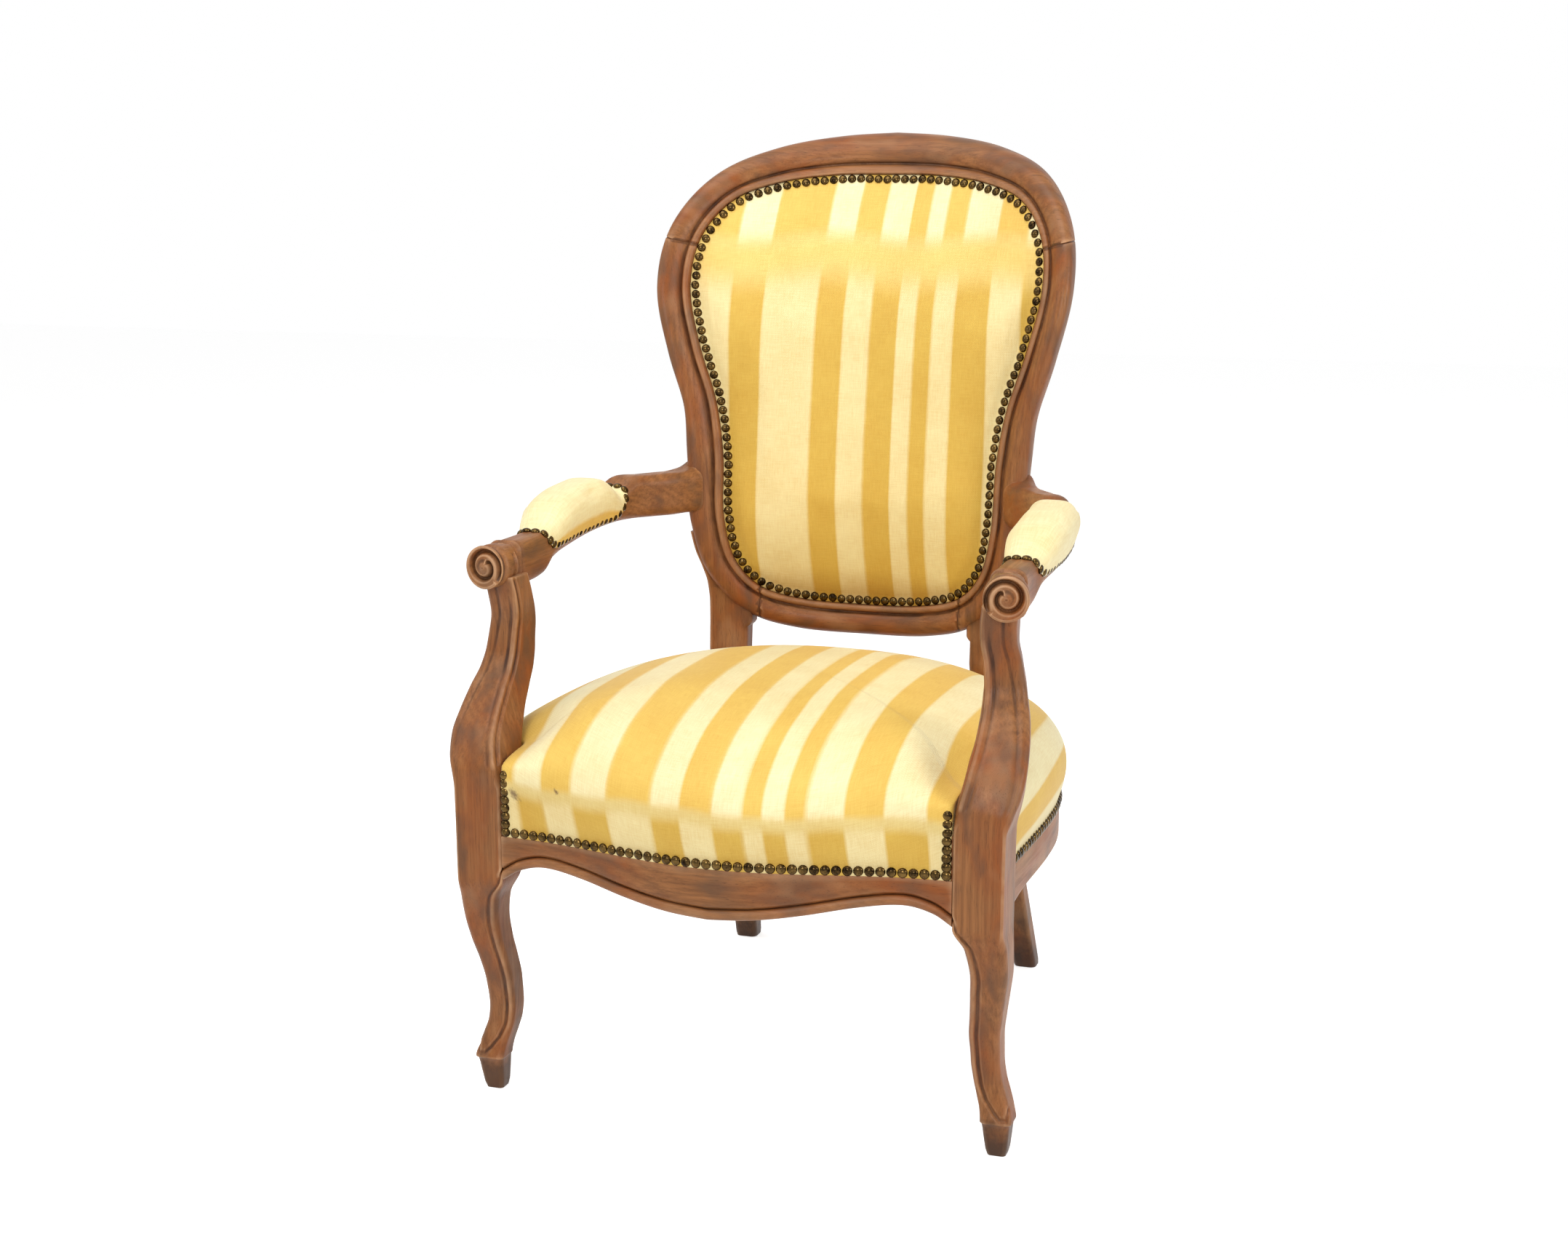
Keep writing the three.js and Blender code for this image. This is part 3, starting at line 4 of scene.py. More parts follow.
import bpy
import numpy as np
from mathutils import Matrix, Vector


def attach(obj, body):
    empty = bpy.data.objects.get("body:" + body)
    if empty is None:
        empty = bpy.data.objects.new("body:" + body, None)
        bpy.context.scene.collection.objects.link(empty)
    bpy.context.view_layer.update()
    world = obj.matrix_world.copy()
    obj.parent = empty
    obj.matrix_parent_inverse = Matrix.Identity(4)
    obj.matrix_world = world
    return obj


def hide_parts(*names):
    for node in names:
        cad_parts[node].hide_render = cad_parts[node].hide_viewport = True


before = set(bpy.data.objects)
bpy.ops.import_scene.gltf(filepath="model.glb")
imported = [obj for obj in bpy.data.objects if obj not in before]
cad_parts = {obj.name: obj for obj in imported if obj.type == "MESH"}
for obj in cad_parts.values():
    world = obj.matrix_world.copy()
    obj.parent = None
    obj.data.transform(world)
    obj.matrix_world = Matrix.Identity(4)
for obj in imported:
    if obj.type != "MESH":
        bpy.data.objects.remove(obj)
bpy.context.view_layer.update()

MM = 0.001
SHIFT_Y = 45.137        # from the place of the lumbar line to the frame's origin
GAP = 0.3
rng = np.random.default_rng(7)

# The sizes and shares of the part
NAIL_HALF, NAIL_BOTTOM, NAIL_HEIGHT = 204.5, 468.5, 487.5
FRAME_WIDTH, FRAME_DEPTH, FRAME_CROWN, NAIL_BORDER = 54, 37, 8.5, 5.5
LEDGE_WIDTH, LEDGE_FRONT, LEDGE_THICK = 14, 3, 21
FRAME_TOP = NAIL_BOTTOM + NAIL_HEIGHT + FRAME_WIDTH
RAIL_JOINT = 121.5
BACK_FOOT_OUT, BACK_FOOT_BEHIND, BACK_FOOT = 182.5, 266.5, 28
BACK_INNER, BACK_OUTER, BACK_FORWARD, BACK_TOP = 136, 180, 9, 548
POST_OUT, POST_AHEAD, POST = 264.5, 319.5, 51
LEG_TOP, RAIL_TOP, RAIL_THICK, RAIL_NAILS, REBATE = 250, 345, 32, 298, 3
FRONT_BOW, APRON_DROP, WEBBING = 38, 24, 269
SIDE_BOTTOM, SIDE_BOW, SIDE_THICK = 262, 5, 30
SCROLL_Z, SCROLL_X, SCROLL_Y, SCROLL_R, SCROLL_LONG = 568, 276, -296, 22.5, 34
ARM_W, ARM_H, ARM_X, ARM_Y, ARM_BOW, ARM_TOP = 38, 50, 200, 122, 70, 624
SEAT_TOP, SEAT_BULGE, COVER = 447, 9, 2
BACK_CROWN, PAD_FRONT, PAD_REAR, PAD_CROWN, PAD_SKIRT, PAD_SWELL = 26, -192, 12, 29, 17, 7
NAIL, NAIL_PITCH, CORNER_NAILS = 10.5, 10.7, 369
POST_FOOT = RAIL_TOP + 0.6 * 102
POST_DEPTH = FRAME_DEPTH - FRAME_CROWN - LEDGE_FRONT
INNER_FACE = POST_OUT - POST / 2
FRONT_FACE = -(POST_AHEAD + POST / 2)
BACK_FACE = -(POST_AHEAD - POST / 2)

NAIL_LINE = [(0, 0), (.372, .009), (.58, .036), (.7, .093), (.762, .195), (.778, .35), (.826, .477),
             (.93, .615), (1, .757), (.965, .866), (.83, .943), (.6, .981), (.3, .998), (0, 1)]
FRAME_WIDTHS = [(0, .79), (.13, .8), (.19, .76), (.26, .78), (.32, .84), (.39, .84), (.46, .77),
                (.54, .75), (.63, .76), (.74, .8), (.86, .9), (1, 1)]
RAKE = [(-.5, .02), (-.24, .06), (0, 0), (.2, .07), (.38, .17), (.55, .29), (.7, .46), (.83, .66), (1, 1)]
BACK_LEG = [(0, 1, 1, 0), (.2, .72, .745, .17), (.45, .4, .42, .45), (.7, .15, .17, .72), (1, 0, 0, 1)]
POST_INNER = [(0, 0), (.18, 0), (.22, -.11), (.4, -.11), (.56, .04), (.7, .28), (.84, .48), (1, .64)]
POST_OUTER = [(0, 0), (.4, 0), (.56, .04), (.7, .16), (.84, .32), (1, .44)]
FRONT_LEG = [(0, .235, .618, .41), (.08, .239, .57, .5), (.146, .245, .525, .58), (.152, .25, .51, .64),
             (.2, .21, .565, .615), (.26, .122, .633, .604), (.32, .037, .673, .59), (.4, -.008, .641, .596),
             (.5, -.01, .541, .624), (.6, .041, .422, .655), (.7, .106, .269, .702), (.8, .151, .161, .755),
             (.9, .118, .057, .843), (1, 0, 0, 1)]
SUPPORT = [(0, .01, 0, 1.02, 0), (.09, .06, .05, 1.12, .2), (.16, .1, .17, 1.17, .6),
           (.25, .137, .365, 1.15, .87), (.335, .15, .655, 1.07, .9), (.425, .128, .967, .985, 1),
           (.515, .073, 1.235, .88, 1.1), (.605, .031, 1.345, .805, 1.05), (.695, -.02, 1.345, .76, 1),
           (.785, -.07, 1.263, .727, .7), (.87, -.05, 1.17, .727, .5), (.95, 0, 1.1, .727, .5)]
ARM = [(0, -.15, -.28, 1.18, 1.1), (.035, -.04, -.06, 1.06, 1.1), (.084, .13, .05, .98, 1.12),
       (.124, .28, .05, .99, 1.12), (.17, .5, .06, .98, 1.14), (.23, .74, .08, .96, 1.08),
       (.3, .87, .66, .58, 1), (.42, .97, .78, .56, 1), (.56, 1, .88, .6, 1), (.7, .96, .97, .68, .95),
       (.76, .94, 1, .9, .88), (.88, .97, 1.02, .94, .9), (.96, 1.03, 1.06, .86, .92), (1, 1.06, 1.1, .7, .8)]
SIDE_RAIL = [(0, .02), (.2, -.01), (.4, -.02), (.56, .02), (.7, .15), (.85, .44), (1, .87)]
APRON = [(0, 1), (.2, .87), (.4, .58), (.62, .17), (.8, 0), (.92, .28), (1, .76)]
SEAT_DOME = [(0, .1, 0), (.15, .8, 0), (.34, .95, 0), (.53, .2, .02), (.66, 0, .1), (.82, 0, .265),
             (.95, 0, .54)]
BACK_DOME = [(0, 0), (.07, .3), (.2, .6), (.42, .86), (.72, .98), (1, 1)]
PAD = [(0, .12, 0), (.06, .46, .18), (.16, .8, .6), (.33, 1.02, .95), (.52, 1, 1), (.7, .88, .95),
       (.86, .64, .6), (.95, .4, .2), (1, .12, 0)]


def table(rows, place, column, steep=True):
    """A smooth curve through the rows. Where steep is False it never overshoots them."""
    rows = np.asarray(rows, float)
    x, y = rows[:, 0], rows[:, column]
    step = np.diff(y) / np.diff(x)
    slope = np.empty(len(x))
    slope[0], slope[-1] = step[0], step[-1]
    if steep:
        slope[1:-1] = (y[2:] - y[:-2]) / (x[2:] - x[:-2])
    else:
        same = step[1:] * step[:-1] > 0
        total = np.where(same, step[1:] + step[:-1], 1)
        slope[1:-1] = np.where(same, 2 * step[1:] * step[:-1] / total, 0)
    at = np.clip(place, x[0], x[-1])
    i = np.clip(np.searchsorted(x, at) - 1, 0, len(x) - 2)
    span = x[i + 1] - x[i]
    t = (at - x[i]) / span
    return ((2 * t ** 3 - 3 * t ** 2 + 1) * y[i] + (t ** 3 - 2 * t ** 2 + t) * span * slope[i]
            + (3 * t ** 2 - 2 * t ** 3) * y[i + 1] + (t ** 3 - t ** 2) * span * slope[i + 1])


def mix(a, b, share):
    return a + (b - a) * share


def ease(low, high, value):
    t = np.clip((value - low) / (high - low), 0, 1)
    return t * t * (3 - 2 * t)


def bump(distance, width):
    return np.exp(-(distance / width) ** 2)


def xyz(x, y, z):
    """Places as rows. A plain number holds for all of them."""
    return np.stack(np.broadcast_arrays(x, y, z), -1)


def run_of(path):
    """How far along a path each of its points lies."""
    return np.concatenate([[0], np.cumsum(np.linalg.norm(np.diff(path, axis=0), axis=-1))])


def turning(value, *bounds):
    """Painted sheen from 0 to 1, with a rest at a half where the stripes of the satin all but vanish."""
    return 0.5 * ease(bounds[0], bounds[1], value) + 0.5 * ease(bounds[2], bounds[3], value)


# Back surface and the nail line
LUMBAR, LUMBAR_PLACE, TOP_LEAN = 545, 152, 123      # height and place of the lumbar line, lean of the top
BACK_HOLLOW, BACK_HALF = 76, 247                    # depth of the hollow over half the width


def back_place(x, z, depth):
    lean = TOP_LEAN * table(RAKE, (np.asarray(z, float) - LUMBAR) / (FRAME_TOP - LUMBAR), 1)
    return LUMBAR_PLACE + lean - BACK_HOLLOW * (np.asarray(x) / BACK_HALF) ** 2 + depth


def make_nail_line():
    half = [(a * NAIL_HALF, NAIL_BOTTOM + u * NAIL_HEIGHT) for a, u in NAIL_LINE]
    spots = np.array(half + [(-x, z) for x, z in half[-2:0:-1]])
    count, curve = len(spots), []
    way = (np.arange(64) / 64)[:, None]
    for i in range(count):
        p0, p1, p2, p3 = (spots[(i + k) % count] for k in (-1, 0, 1, 2))
        d0, d1, d2 = (np.sum((b - a) ** 2) ** 0.25 for a, b in ((p0, p1), (p1, p2), (p2, p3)))
        t1 = ((p1 - p0) / d0 - (p2 - p0) / (d0 + d1) + (p2 - p1) / d1) * d1
        t2 = ((p2 - p1) / d1 - (p3 - p1) / (d1 + d2) + (p3 - p2) / d2) * d1
        curve.append(p1 + t1 * way + (3 * (p2 - p1) - 2 * t1 - t2) * way ** 2
                     + (2 * (p1 - p2) + t1 + t2) * way ** 3)
    curve = np.concatenate(curve)
    curve = np.vstack([curve, curve[:1]])
    return curve, run_of(curve)


line_spots, line_ways = make_nail_line()
LINE_LENGTH = line_ways[-1]
LINE_NAILS = round(LINE_LENGTH / NAIL_PITCH)


def on_line(turn):
    """Place on the nail line and the outward direction there. Turn 0 is the bottom, 0.5 the top."""
    def at(way):
        return np.stack([np.interp(way % LINE_LENGTH, line_ways, line_spots[:, k]) for k in (0, 1)], -1)
    way = np.asarray(turn) * LINE_LENGTH
    reach = 6.0
    run = at(way + reach) - at(way - reach)
    run /= np.linalg.norm(run, axis=-1, keepdims=True)
    return at(way), np.stack([run[..., 1], -run[..., 0]], -1)


def off_line(turn, outward, depth):
    """Points of the back at an outward distance from the nail line and a depth behind its surface."""
    spot, out = on_line(turn)
    x, z = spot[..., 0] + out[..., 0] * outward, spot[..., 1] + out[..., 1] * outward
    return xyz(x, back_place(x, z, depth), z)


STATIONS = 46
SHOULDER, POST_START, RAIL_END = 16 / STATIONS, 2 / STATIONS, 6 / STATIONS
GAP_TURN = 0.06 / LINE_LENGTH


# Meshes
def add_object(name, data):
    obj = bpy.data.objects.new(name, data)
    bpy.context.scene.collection.objects.link(obj)
    return obj


def make(name, points, faces):
    place = np.asarray(points, float).reshape(-1, 3) * MM
    place[:, 1] += SHIFT_Y * MM
    mesh = bpy.data.meshes.new(name)
    mesh.from_pydata(place.tolist(), [], [tuple(map(int, f)) for f in faces])
    mesh.update()
    mesh.calc_loop_triangles()
    tri = np.array([t.vertices[:] for t in mesh.loop_triangles])
    volume = np.einsum("ij,ij->i", place[tri[:, 0]], np.cross(place[tri[:, 1]], place[tri[:, 2]])).sum()
    if volume < 0:
        mesh.flip_normals()
    mesh.shade_smooth()
    return add_object(name, mesh)


def loft(name, rings, poles=(None, None)):
    """A closed body through rings of one size, capped flat or by a pole at each end."""
    rings = np.asarray(rings, float)
    rows, cols = rings.shape[:2]
    i, j = (part.ravel() for part in np.meshgrid(np.arange(rows - 1), np.arange(cols), indexing="ij"))
    after = (j + 1) % cols
    faces = np.stack([i * cols + j, i * cols + after, (i + 1) * cols + after, (i + 1) * cols + j], 1).tolist()
    points = rings.reshape(-1, 3)
    for pole, start, order in ((poles[0], 0, 1), (poles[1], (rows - 1) * cols, -1)):
        ring = list(range(start, start + cols))[::-order]
        if pole is None:
            faces.append(ring)
        else:
            points = np.vstack([points, pole])
            faces += [(ring[k], ring[(k + 1) % cols], len(points) - 1) for k in range(cols)]
    return make(name, points, faces)


def coordinates(mesh):
    place = np.empty(len(mesh.vertices) * 3)
    mesh.vertices.foreach_get("co", place)
    return place.reshape(-1, 3)


def boolean(obj, other, operation):
    change = obj.modifiers.new("cut", "BOOLEAN")
    change.operation, change.object, change.solver = operation, other, "MANIFOLD"
    graph = bpy.context.evaluated_depsgraph_get()
    mesh = bpy.data.meshes.new_from_object(obj.evaluated_get(graph), depsgraph=graph)
    obj.modifiers.remove(change)
    old = obj.data
    obj.data = mesh
    mesh.name = obj.name
    bpy.data.meshes.remove(old)
    bpy.data.objects.remove(other)
    return obj


def box(low, high):
    low, high = np.minimum(low, high), np.maximum(low, high)
    x, y, z = zip(low, high)
    points = [(x[i], y[j], z[k]) for i in (0, 1) for j in (0, 1) for k in (0, 1)]
    return make("cutter", points, [(0, 1, 3, 2), (4, 6, 7, 5), (0, 4, 5, 1), (2, 3, 7, 6), (0, 2, 6, 4),
                                   (1, 5, 7, 3)])


def mirrored(obj, name):
    mesh = obj.data.copy()
    place = coordinates(mesh)
    place[:, 0] *= -1
    mesh.vertices.foreach_set("co", place.ravel())
    mesh.flip_normals()
    mesh.name = name
    return add_object(name, mesh)


def store(mesh, name, kind, values):
    if name in mesh.attributes:
        mesh.attributes.remove(mesh.attributes[name])
    layer = mesh.attributes.new(name, kind, "POINT")
    layer.data.foreach_set("vector" if kind == "FLOAT_VECTOR" else "value", np.asarray(values, float).ravel())


def edge_ends(mesh):
    pair = np.empty(len(mesh.edges) * 2, int)
    mesh.edges.foreach_get("vertices", pair)
    return pair.reshape(-1, 2).T


def summed(a, b, values):
    """For each point the sum of the values at the other ends of its edges."""
    return np.bincount(a, values[b], len(values)) + np.bincount(b, values[a], len(values))


def relief(mesh, scale=3.0, passes=3, least=0.2):
    """How far each point stands out (1) or lies in a hollow (-1). Shorter edges count as least."""
    place = coordinates(mesh)
    mesh.update()
    normal = np.empty(len(place) * 3)
    mesh.vertex_normals.foreach_get("vector", normal)
    normal = normal.reshape(-1, 3)
    a, b = edge_ends(mesh)
    way = place[b] - place[a]
    length = np.maximum(np.linalg.norm(way, axis=1), least * MM)
    bend_a = -2 * np.einsum("ij,ij->i", normal[a], way) / length ** 2
    bend_b = 2 * np.einsum("ij,ij->i", normal[b], way) / length ** 2
    count = np.maximum(summed(a, b, np.ones(len(place))), 1)
    bend = (np.bincount(a, bend_a, len(place)) + np.bincount(b, bend_b, len(place))) / count
    bend = np.clip(bend * scale * MM, -2, 2)
    for _ in range(passes):
        bend = 0.5 * bend + 0.5 * summed(a, b, bend) / count
    return np.clip(bend, -1, 1)


BOARDS = {"x": (0, 1, 2), "y": (1, 0, 2), "z": (2, 0, 1)}


SEAM_HALF = 1.1


def seams(place):
    """Where two pieces of the back frame meet: the shoulders and the ends of the lower rail."""
    x, z = np.abs(place[:, 0]), place[:, 2]
    spot, out = on_line(SHOULDER)
    off = np.abs((x - spot[0]) * out[1] - (z - spot[1]) * out[0])
    near = np.hypot(x - spot[0], z - spot[1]) < 70
    low = (np.abs(x - RAIL_JOINT) < SEAM_HALF + 0.2) & (z > 400) & (z < 560) & (place[:, 1] > 60)
    return ((off < SEAM_HALF) & near & (z > 600)) | low


def finish_wood(obj, along, node, pith):
    """Grain, relief and the walnut material. pith is the place of the board's heart."""
    mesh = obj.data
    place = coordinates(mesh)
    order = BOARDS[along]
    store(mesh, "grain", "FLOAT_VECTOR", (place - np.array(pith) * MM)[:, order])
    # edges and hollows close by, and broad hollows, which the material darkens as dirty wood and painted shade
    shape = np.clip(relief(mesh) + 0.9 * np.minimum(relief(mesh, 9, 24), 0), -1, 1)
    store(mesh, "relief", "FLOAT", np.where(seams(place / MM - (0, SHIFT_Y, 0)), -1, shape))
    mesh.shade_smooth()
    mesh.set_sharp_from_angle(angle=math.radians(38))
    dress(obj, walnut, "walnut", node)


def finish_pair(obj, twin_name, along, node, right_pith, left_pith):
    """Finishes a right-hand piece and its mirror image."""
    twin = mirrored(obj, twin_name)
    finish_wood(obj, along, node + "_right", right_pith)
    finish_wood(twin, along, node + "_left", left_pith)


def dress(obj, material, slot, *nodes):
    obj.data.materials.clear()
    obj.data.materials.append(material)
    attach(obj, "root")
    if nodes:
        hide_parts(*nodes)


# Materials
def linear(code):
    parts = [int(code[i:i + 2], 16) / 255 for i in (0, 2, 4)]
    return tuple(c / 12.92 if c <= 0.04045 else ((c + 0.055) / 1.055) ** 2.4 for c in parts) + (1,)


def feed(tree, made, inputs):
    """Links or sets the named inputs of a node."""
    for key, value in inputs.items():
        if isinstance(value, bpy.types.NodeSocket):
            tree.links.new(value, made.inputs[key])
        else:
            made.inputs[key].default_value = value
    return made


def node(tree, kind, inputs=(), **settings):
    made = tree.nodes.new(kind)
    for key, value in settings.items():
        setattr(made, key, value)
    return feed(tree, made, dict(inputs))


def math_node(tree, operation, *values, clamp=False):
    made = node(tree, "ShaderNodeMath", dict(enumerate(values)), operation=operation, use_clamp=clamp)
    return made.outputs[0]


def blend(tree, factor, first, second, kind="MIX"):
    made = node(tree, "ShaderNodeMix", {0: factor, 6: first, 7: second}, data_type="RGBA", blend_type=kind)
    return made.outputs[2]


def span(tree, value, low, high, to_low=0.0, to_high=1.0):
    return node(tree, "ShaderNodeMapRange", {0: value, 1: low, 2: high, 3: to_low, 4: to_high}).outputs[0]


def stretched(tree, vector, scale):
    return node(tree, "ShaderNodeVectorMath", {0: vector, 1: scale}, operation="MULTIPLY").outputs[0]


def noise(tree, vector, scale, detail=3.0, rough=0.55):
    """Clouds. scale is one number, or one for each axis."""
    if isinstance(scale, tuple):
        vector, scale = stretched(tree, vector, scale), 1.0
    made = node(tree, "ShaderNodeTexNoise", {"Vector": vector, "Scale": scale, "Detail": detail,
                                             "Roughness": rough})
    return made.outputs[0]


def group(name, inputs, outputs, kind="ShaderNodeTree"):
    """A new group with its inputs (name, kind, value) and outputs (name, kind)."""
    tree = bpy.data.node_groups.new(name, kind)
    for label, socket_kind, value in inputs:
        socket = tree.interface.new_socket(label, in_out="INPUT", socket_type="NodeSocket" + socket_kind)
        if value is not None:
            socket.default_value = value
    for label, socket_kind in outputs:
        tree.interface.new_socket(label, in_out="OUTPUT", socket_type="NodeSocket" + socket_kind)
    return tree, node(tree, "NodeGroupInput").outputs, node(tree, "NodeGroupOutput")


def timber_group():
    """Figure of a board: rings about its heart, fibres and pores along it."""
    tree, given, result = group("timber", [
        ("Vector", "Vector", None), ("Rings", "Float", 45.0), ("Light", "Color", linear("B98254")),
        ("Dark", "Color", linear("7A4A2A")), ("Red", "Color", linear("A8602F")), ("Fibre", "Float", 0.42)],
        [("Color", "Color"), ("Height", "Float"), ("Roughness", "Float")])
    vector = given["Vector"]
    wander = node(tree, "ShaderNodeTexNoise", {"Vector": stretched(tree, vector, (3, 9, 9)), "Scale": 1.0,
                                               "Detail": 2.0}).outputs[1]
    pushed = node(tree, "ShaderNodeVectorMath", {0: wander, 1: (0.035, 0.035, 0.035), 2: vector},
                  operation="MULTIPLY_ADD").outputs[0]
    rings = node(tree, "ShaderNodeTexWave", {"Vector": stretched(tree, pushed, (0.12, 1, 1)),
                                             "Scale": given["Rings"], "Distortion": 2.4, "Detail": 2.0,
                                             "Detail Scale": 0.5}, wave_type="RINGS", rings_direction="X",
                 wave_profile="SIN").outputs[1]
    fibre = noise(tree, vector, (9, 420, 420), 4.0, 0.65)
    streak = noise(tree, pushed, (2.2, 95, 95), 3.0, 0.6)
    pores = noise(tree, vector, (60, 1400, 1400), 1.0)
    broad = noise(tree, vector, (8, 20, 20), 3.0)
    grey = noise(tree, stretched(tree, vector, (9, 24, 24)), 1.7, 2.0)
    fibre_share = span(tree, fibre, 0.35, 0.68)
    figure = math_node(tree, "ADD", math_node(tree, "MULTIPLY", rings, 0.17),
                       math_node(tree, "MULTIPLY", span(tree, streak, 0.3, 0.72), 0.22))
    fibres = math_node(tree, "MULTIPLY", fibre_share, given["Fibre"])
    figure = math_node(tree, "ADD", figure, fibres, clamp=True)
    colour = blend(tree, figure, given["Light"], given["Dark"])
    colour = blend(tree, span(tree, broad, 0.42, 0.62, 0.0, 0.85), colour, given["Red"])
    colour = blend(tree, span(tree, grey, 0.47, 0.66, 0.0, 0.7), colour, linear("614530"))
    bleached = noise(tree, stretched(tree, vector, (10, 20, 20)), 1.3, 2.0)
    colour = blend(tree, span(tree, bleached, 0.54, 0.72, 0.0, 0.5), colour, linear("A27550"))
    pore = span(tree, pores, 0.62, 0.74)
    colour = blend(tree, math_node(tree, "MULTIPLY", pore, 0.4), colour, linear("2A160A"))
    height = math_node(tree, "SUBTRACT", math_node(tree, "MULTIPLY", fibre_share, 0.4), pore)
    feed(tree, result, {"Color": colour, "Height": height,
                        "Roughness": span(tree, figure, 0.0, 1.0, 0.0, 0.14)})
    return tree


def wear_group():
    """Rubbed edges, and hollows darkened partly as dirty wood and partly as painted shade, from the relief of
    the mesh.
    """
    tree, given, result = group("wear", [
        ("Relief", "Float", 0.0), ("Vector", "Vector", None), ("Rub", "Float", 0.7), ("DirtAndShadeStrength", "Float", 0.9)],
        [("Worn", "Float"), ("DirtAndShade", "Float")])
    cloud = noise(tree, given["Vector"], 38.0, 4.0)
    uneven = span(tree, cloud, 0.3, 0.7, 0.35, 1.0)
    worn = math_node(tree, "MULTIPLY", span(tree, given["Relief"], 0.16, 0.75), uneven)
    # hollows: darker from dirty wood and from painted shade, where less light falls
    dirt_and_shade = math_node(tree, "MULTIPLY", span(tree, given["Relief"], -0.03, -0.5), uneven)
    feed(tree, result, {"Worn": math_node(tree, "MULTIPLY", worn, given["Rub"], clamp=True),
                        "DirtAndShade": math_node(tree, "MULTIPLY", dirt_and_shade, given["DirtAndShadeStrength"], clamp=True)})
    return tree


def weave_group():
    """Cloth with threads across and along: the mask picks the gold stripe."""
    tree, given, result = group("weave", [
        ("Vector", "Vector", None), ("Mask", "Float", 0.0), ("Pale", "Color", linear("FBEDB4")),
        ("Gold", "Color", linear("E3B94E")), ("Threads", "Float", 2600.0)],
        [("Color", "Color"), ("Height", "Float"), ("Roughness", "Float")])
    vector = given["Vector"]
    parts = node(tree, "ShaderNodeSeparateXYZ", {0: vector}).outputs
    across, along = (math_node(tree, "SINE", math_node(tree, "MULTIPLY", parts[k], given["Threads"]))
                     for k in (0, 1))
    threads = span(tree, math_node(tree, "MULTIPLY", across, along), -1.0, 1.0)
    slub = noise(tree, vector, (900, 60, 60), 3.0)
    weft = noise(tree, vector, (60, 900, 60), 3.0)
    cloud = noise(tree, vector, 16.0, 4.0)
    colour = blend(tree, given["Mask"], given["Pale"], given["Gold"])
    shade = math_node(tree, "ADD", math_node(tree, "ADD", slub, weft), cloud)
    colour = blend(tree, span(tree, shade, 1.2, 1.9, 0.0, 0.38), colour, linear("D9B45C"), "MULTIPLY")
    feed(tree, result, {"Color": colour, "Height": math_node(tree, "ADD", threads, slub),
                        "Roughness": span(tree, given["Mask"], 0.0, 1.0, 0.0, 0.1)})
    return tree


def attribute(tree, name, kind="Vector"):
    return node(tree, "ShaderNodeAttribute", attribute_name=name).outputs[kind]


def new_material(name):
    material = bpy.data.materials.new(name)
    material.use_nodes = True
    tree = material.node_tree
    return material, tree, tree.nodes["Principled BSDF"]


def use(tree, group_tree, inputs):
    return node(tree, "ShaderNodeGroup", inputs, node_tree=group_tree).outputs


def bumped(tree, height, distance, strength=0.6):
    made = node(tree, "ShaderNodeBump", {"Height": height, "Strength": strength, "Distance": distance})
    return made.outputs[0]


def in_object(tree):
    return node(tree, "ShaderNodeTexCoord").outputs["Object"]


def wood_material(name, light, dark, red, rub=0.7, dirt_and_shade_strength=0.7, gloss=0.38, own_grain=True):
    material, tree, shader = new_material(name)
    vector = attribute(tree, "grain") if own_grain else in_object(tree)
    figure = use(tree, timber, {"Vector": vector, "Light": linear(light), "Dark": linear(dark),
                                "Red": linear(red)})
    wear = use(tree, wearing, {"Relief": attribute(tree, "relief", "Fac"), "Vector": vector,
                               "Rub": rub, "DirtAndShadeStrength": dirt_and_shade_strength})
    colour = blend(tree, wear["Worn"], figure["Color"], linear("CDA078"))
    # hollows and grooves darkened: dirty wood and painted shade
    colour = blend(tree, wear["DirtAndShade"], colour, linear("2A150A"))
    if own_grain:
        # the foot ends are dark from the floor
        high = node(tree, "ShaderNodeSeparateXYZ", {0: in_object(tree)}).outputs[2]
        ragged = math_node(tree, "ADD", high, span(tree, noise(tree, vector, 60.0), 0.3, 0.7, -0.012, 0.012))
        colour = blend(tree, span(tree, ragged, 0.052, 0.02, 0.0, 0.72), colour, linear("2B1D14"))
    feed(tree, shader, {"Base Color": colour, "Roughness": math_node(tree, "ADD", figure["Roughness"], gloss),
                        "Specular IOR Level": 0.2, "Coat Weight": 0.03, "Coat Roughness": 0.18,
                        "Normal": bumped(tree, figure["Height"], 0.00012)})
    return material


SOFT = 1.0              # half the width of a stripe's blurred edge


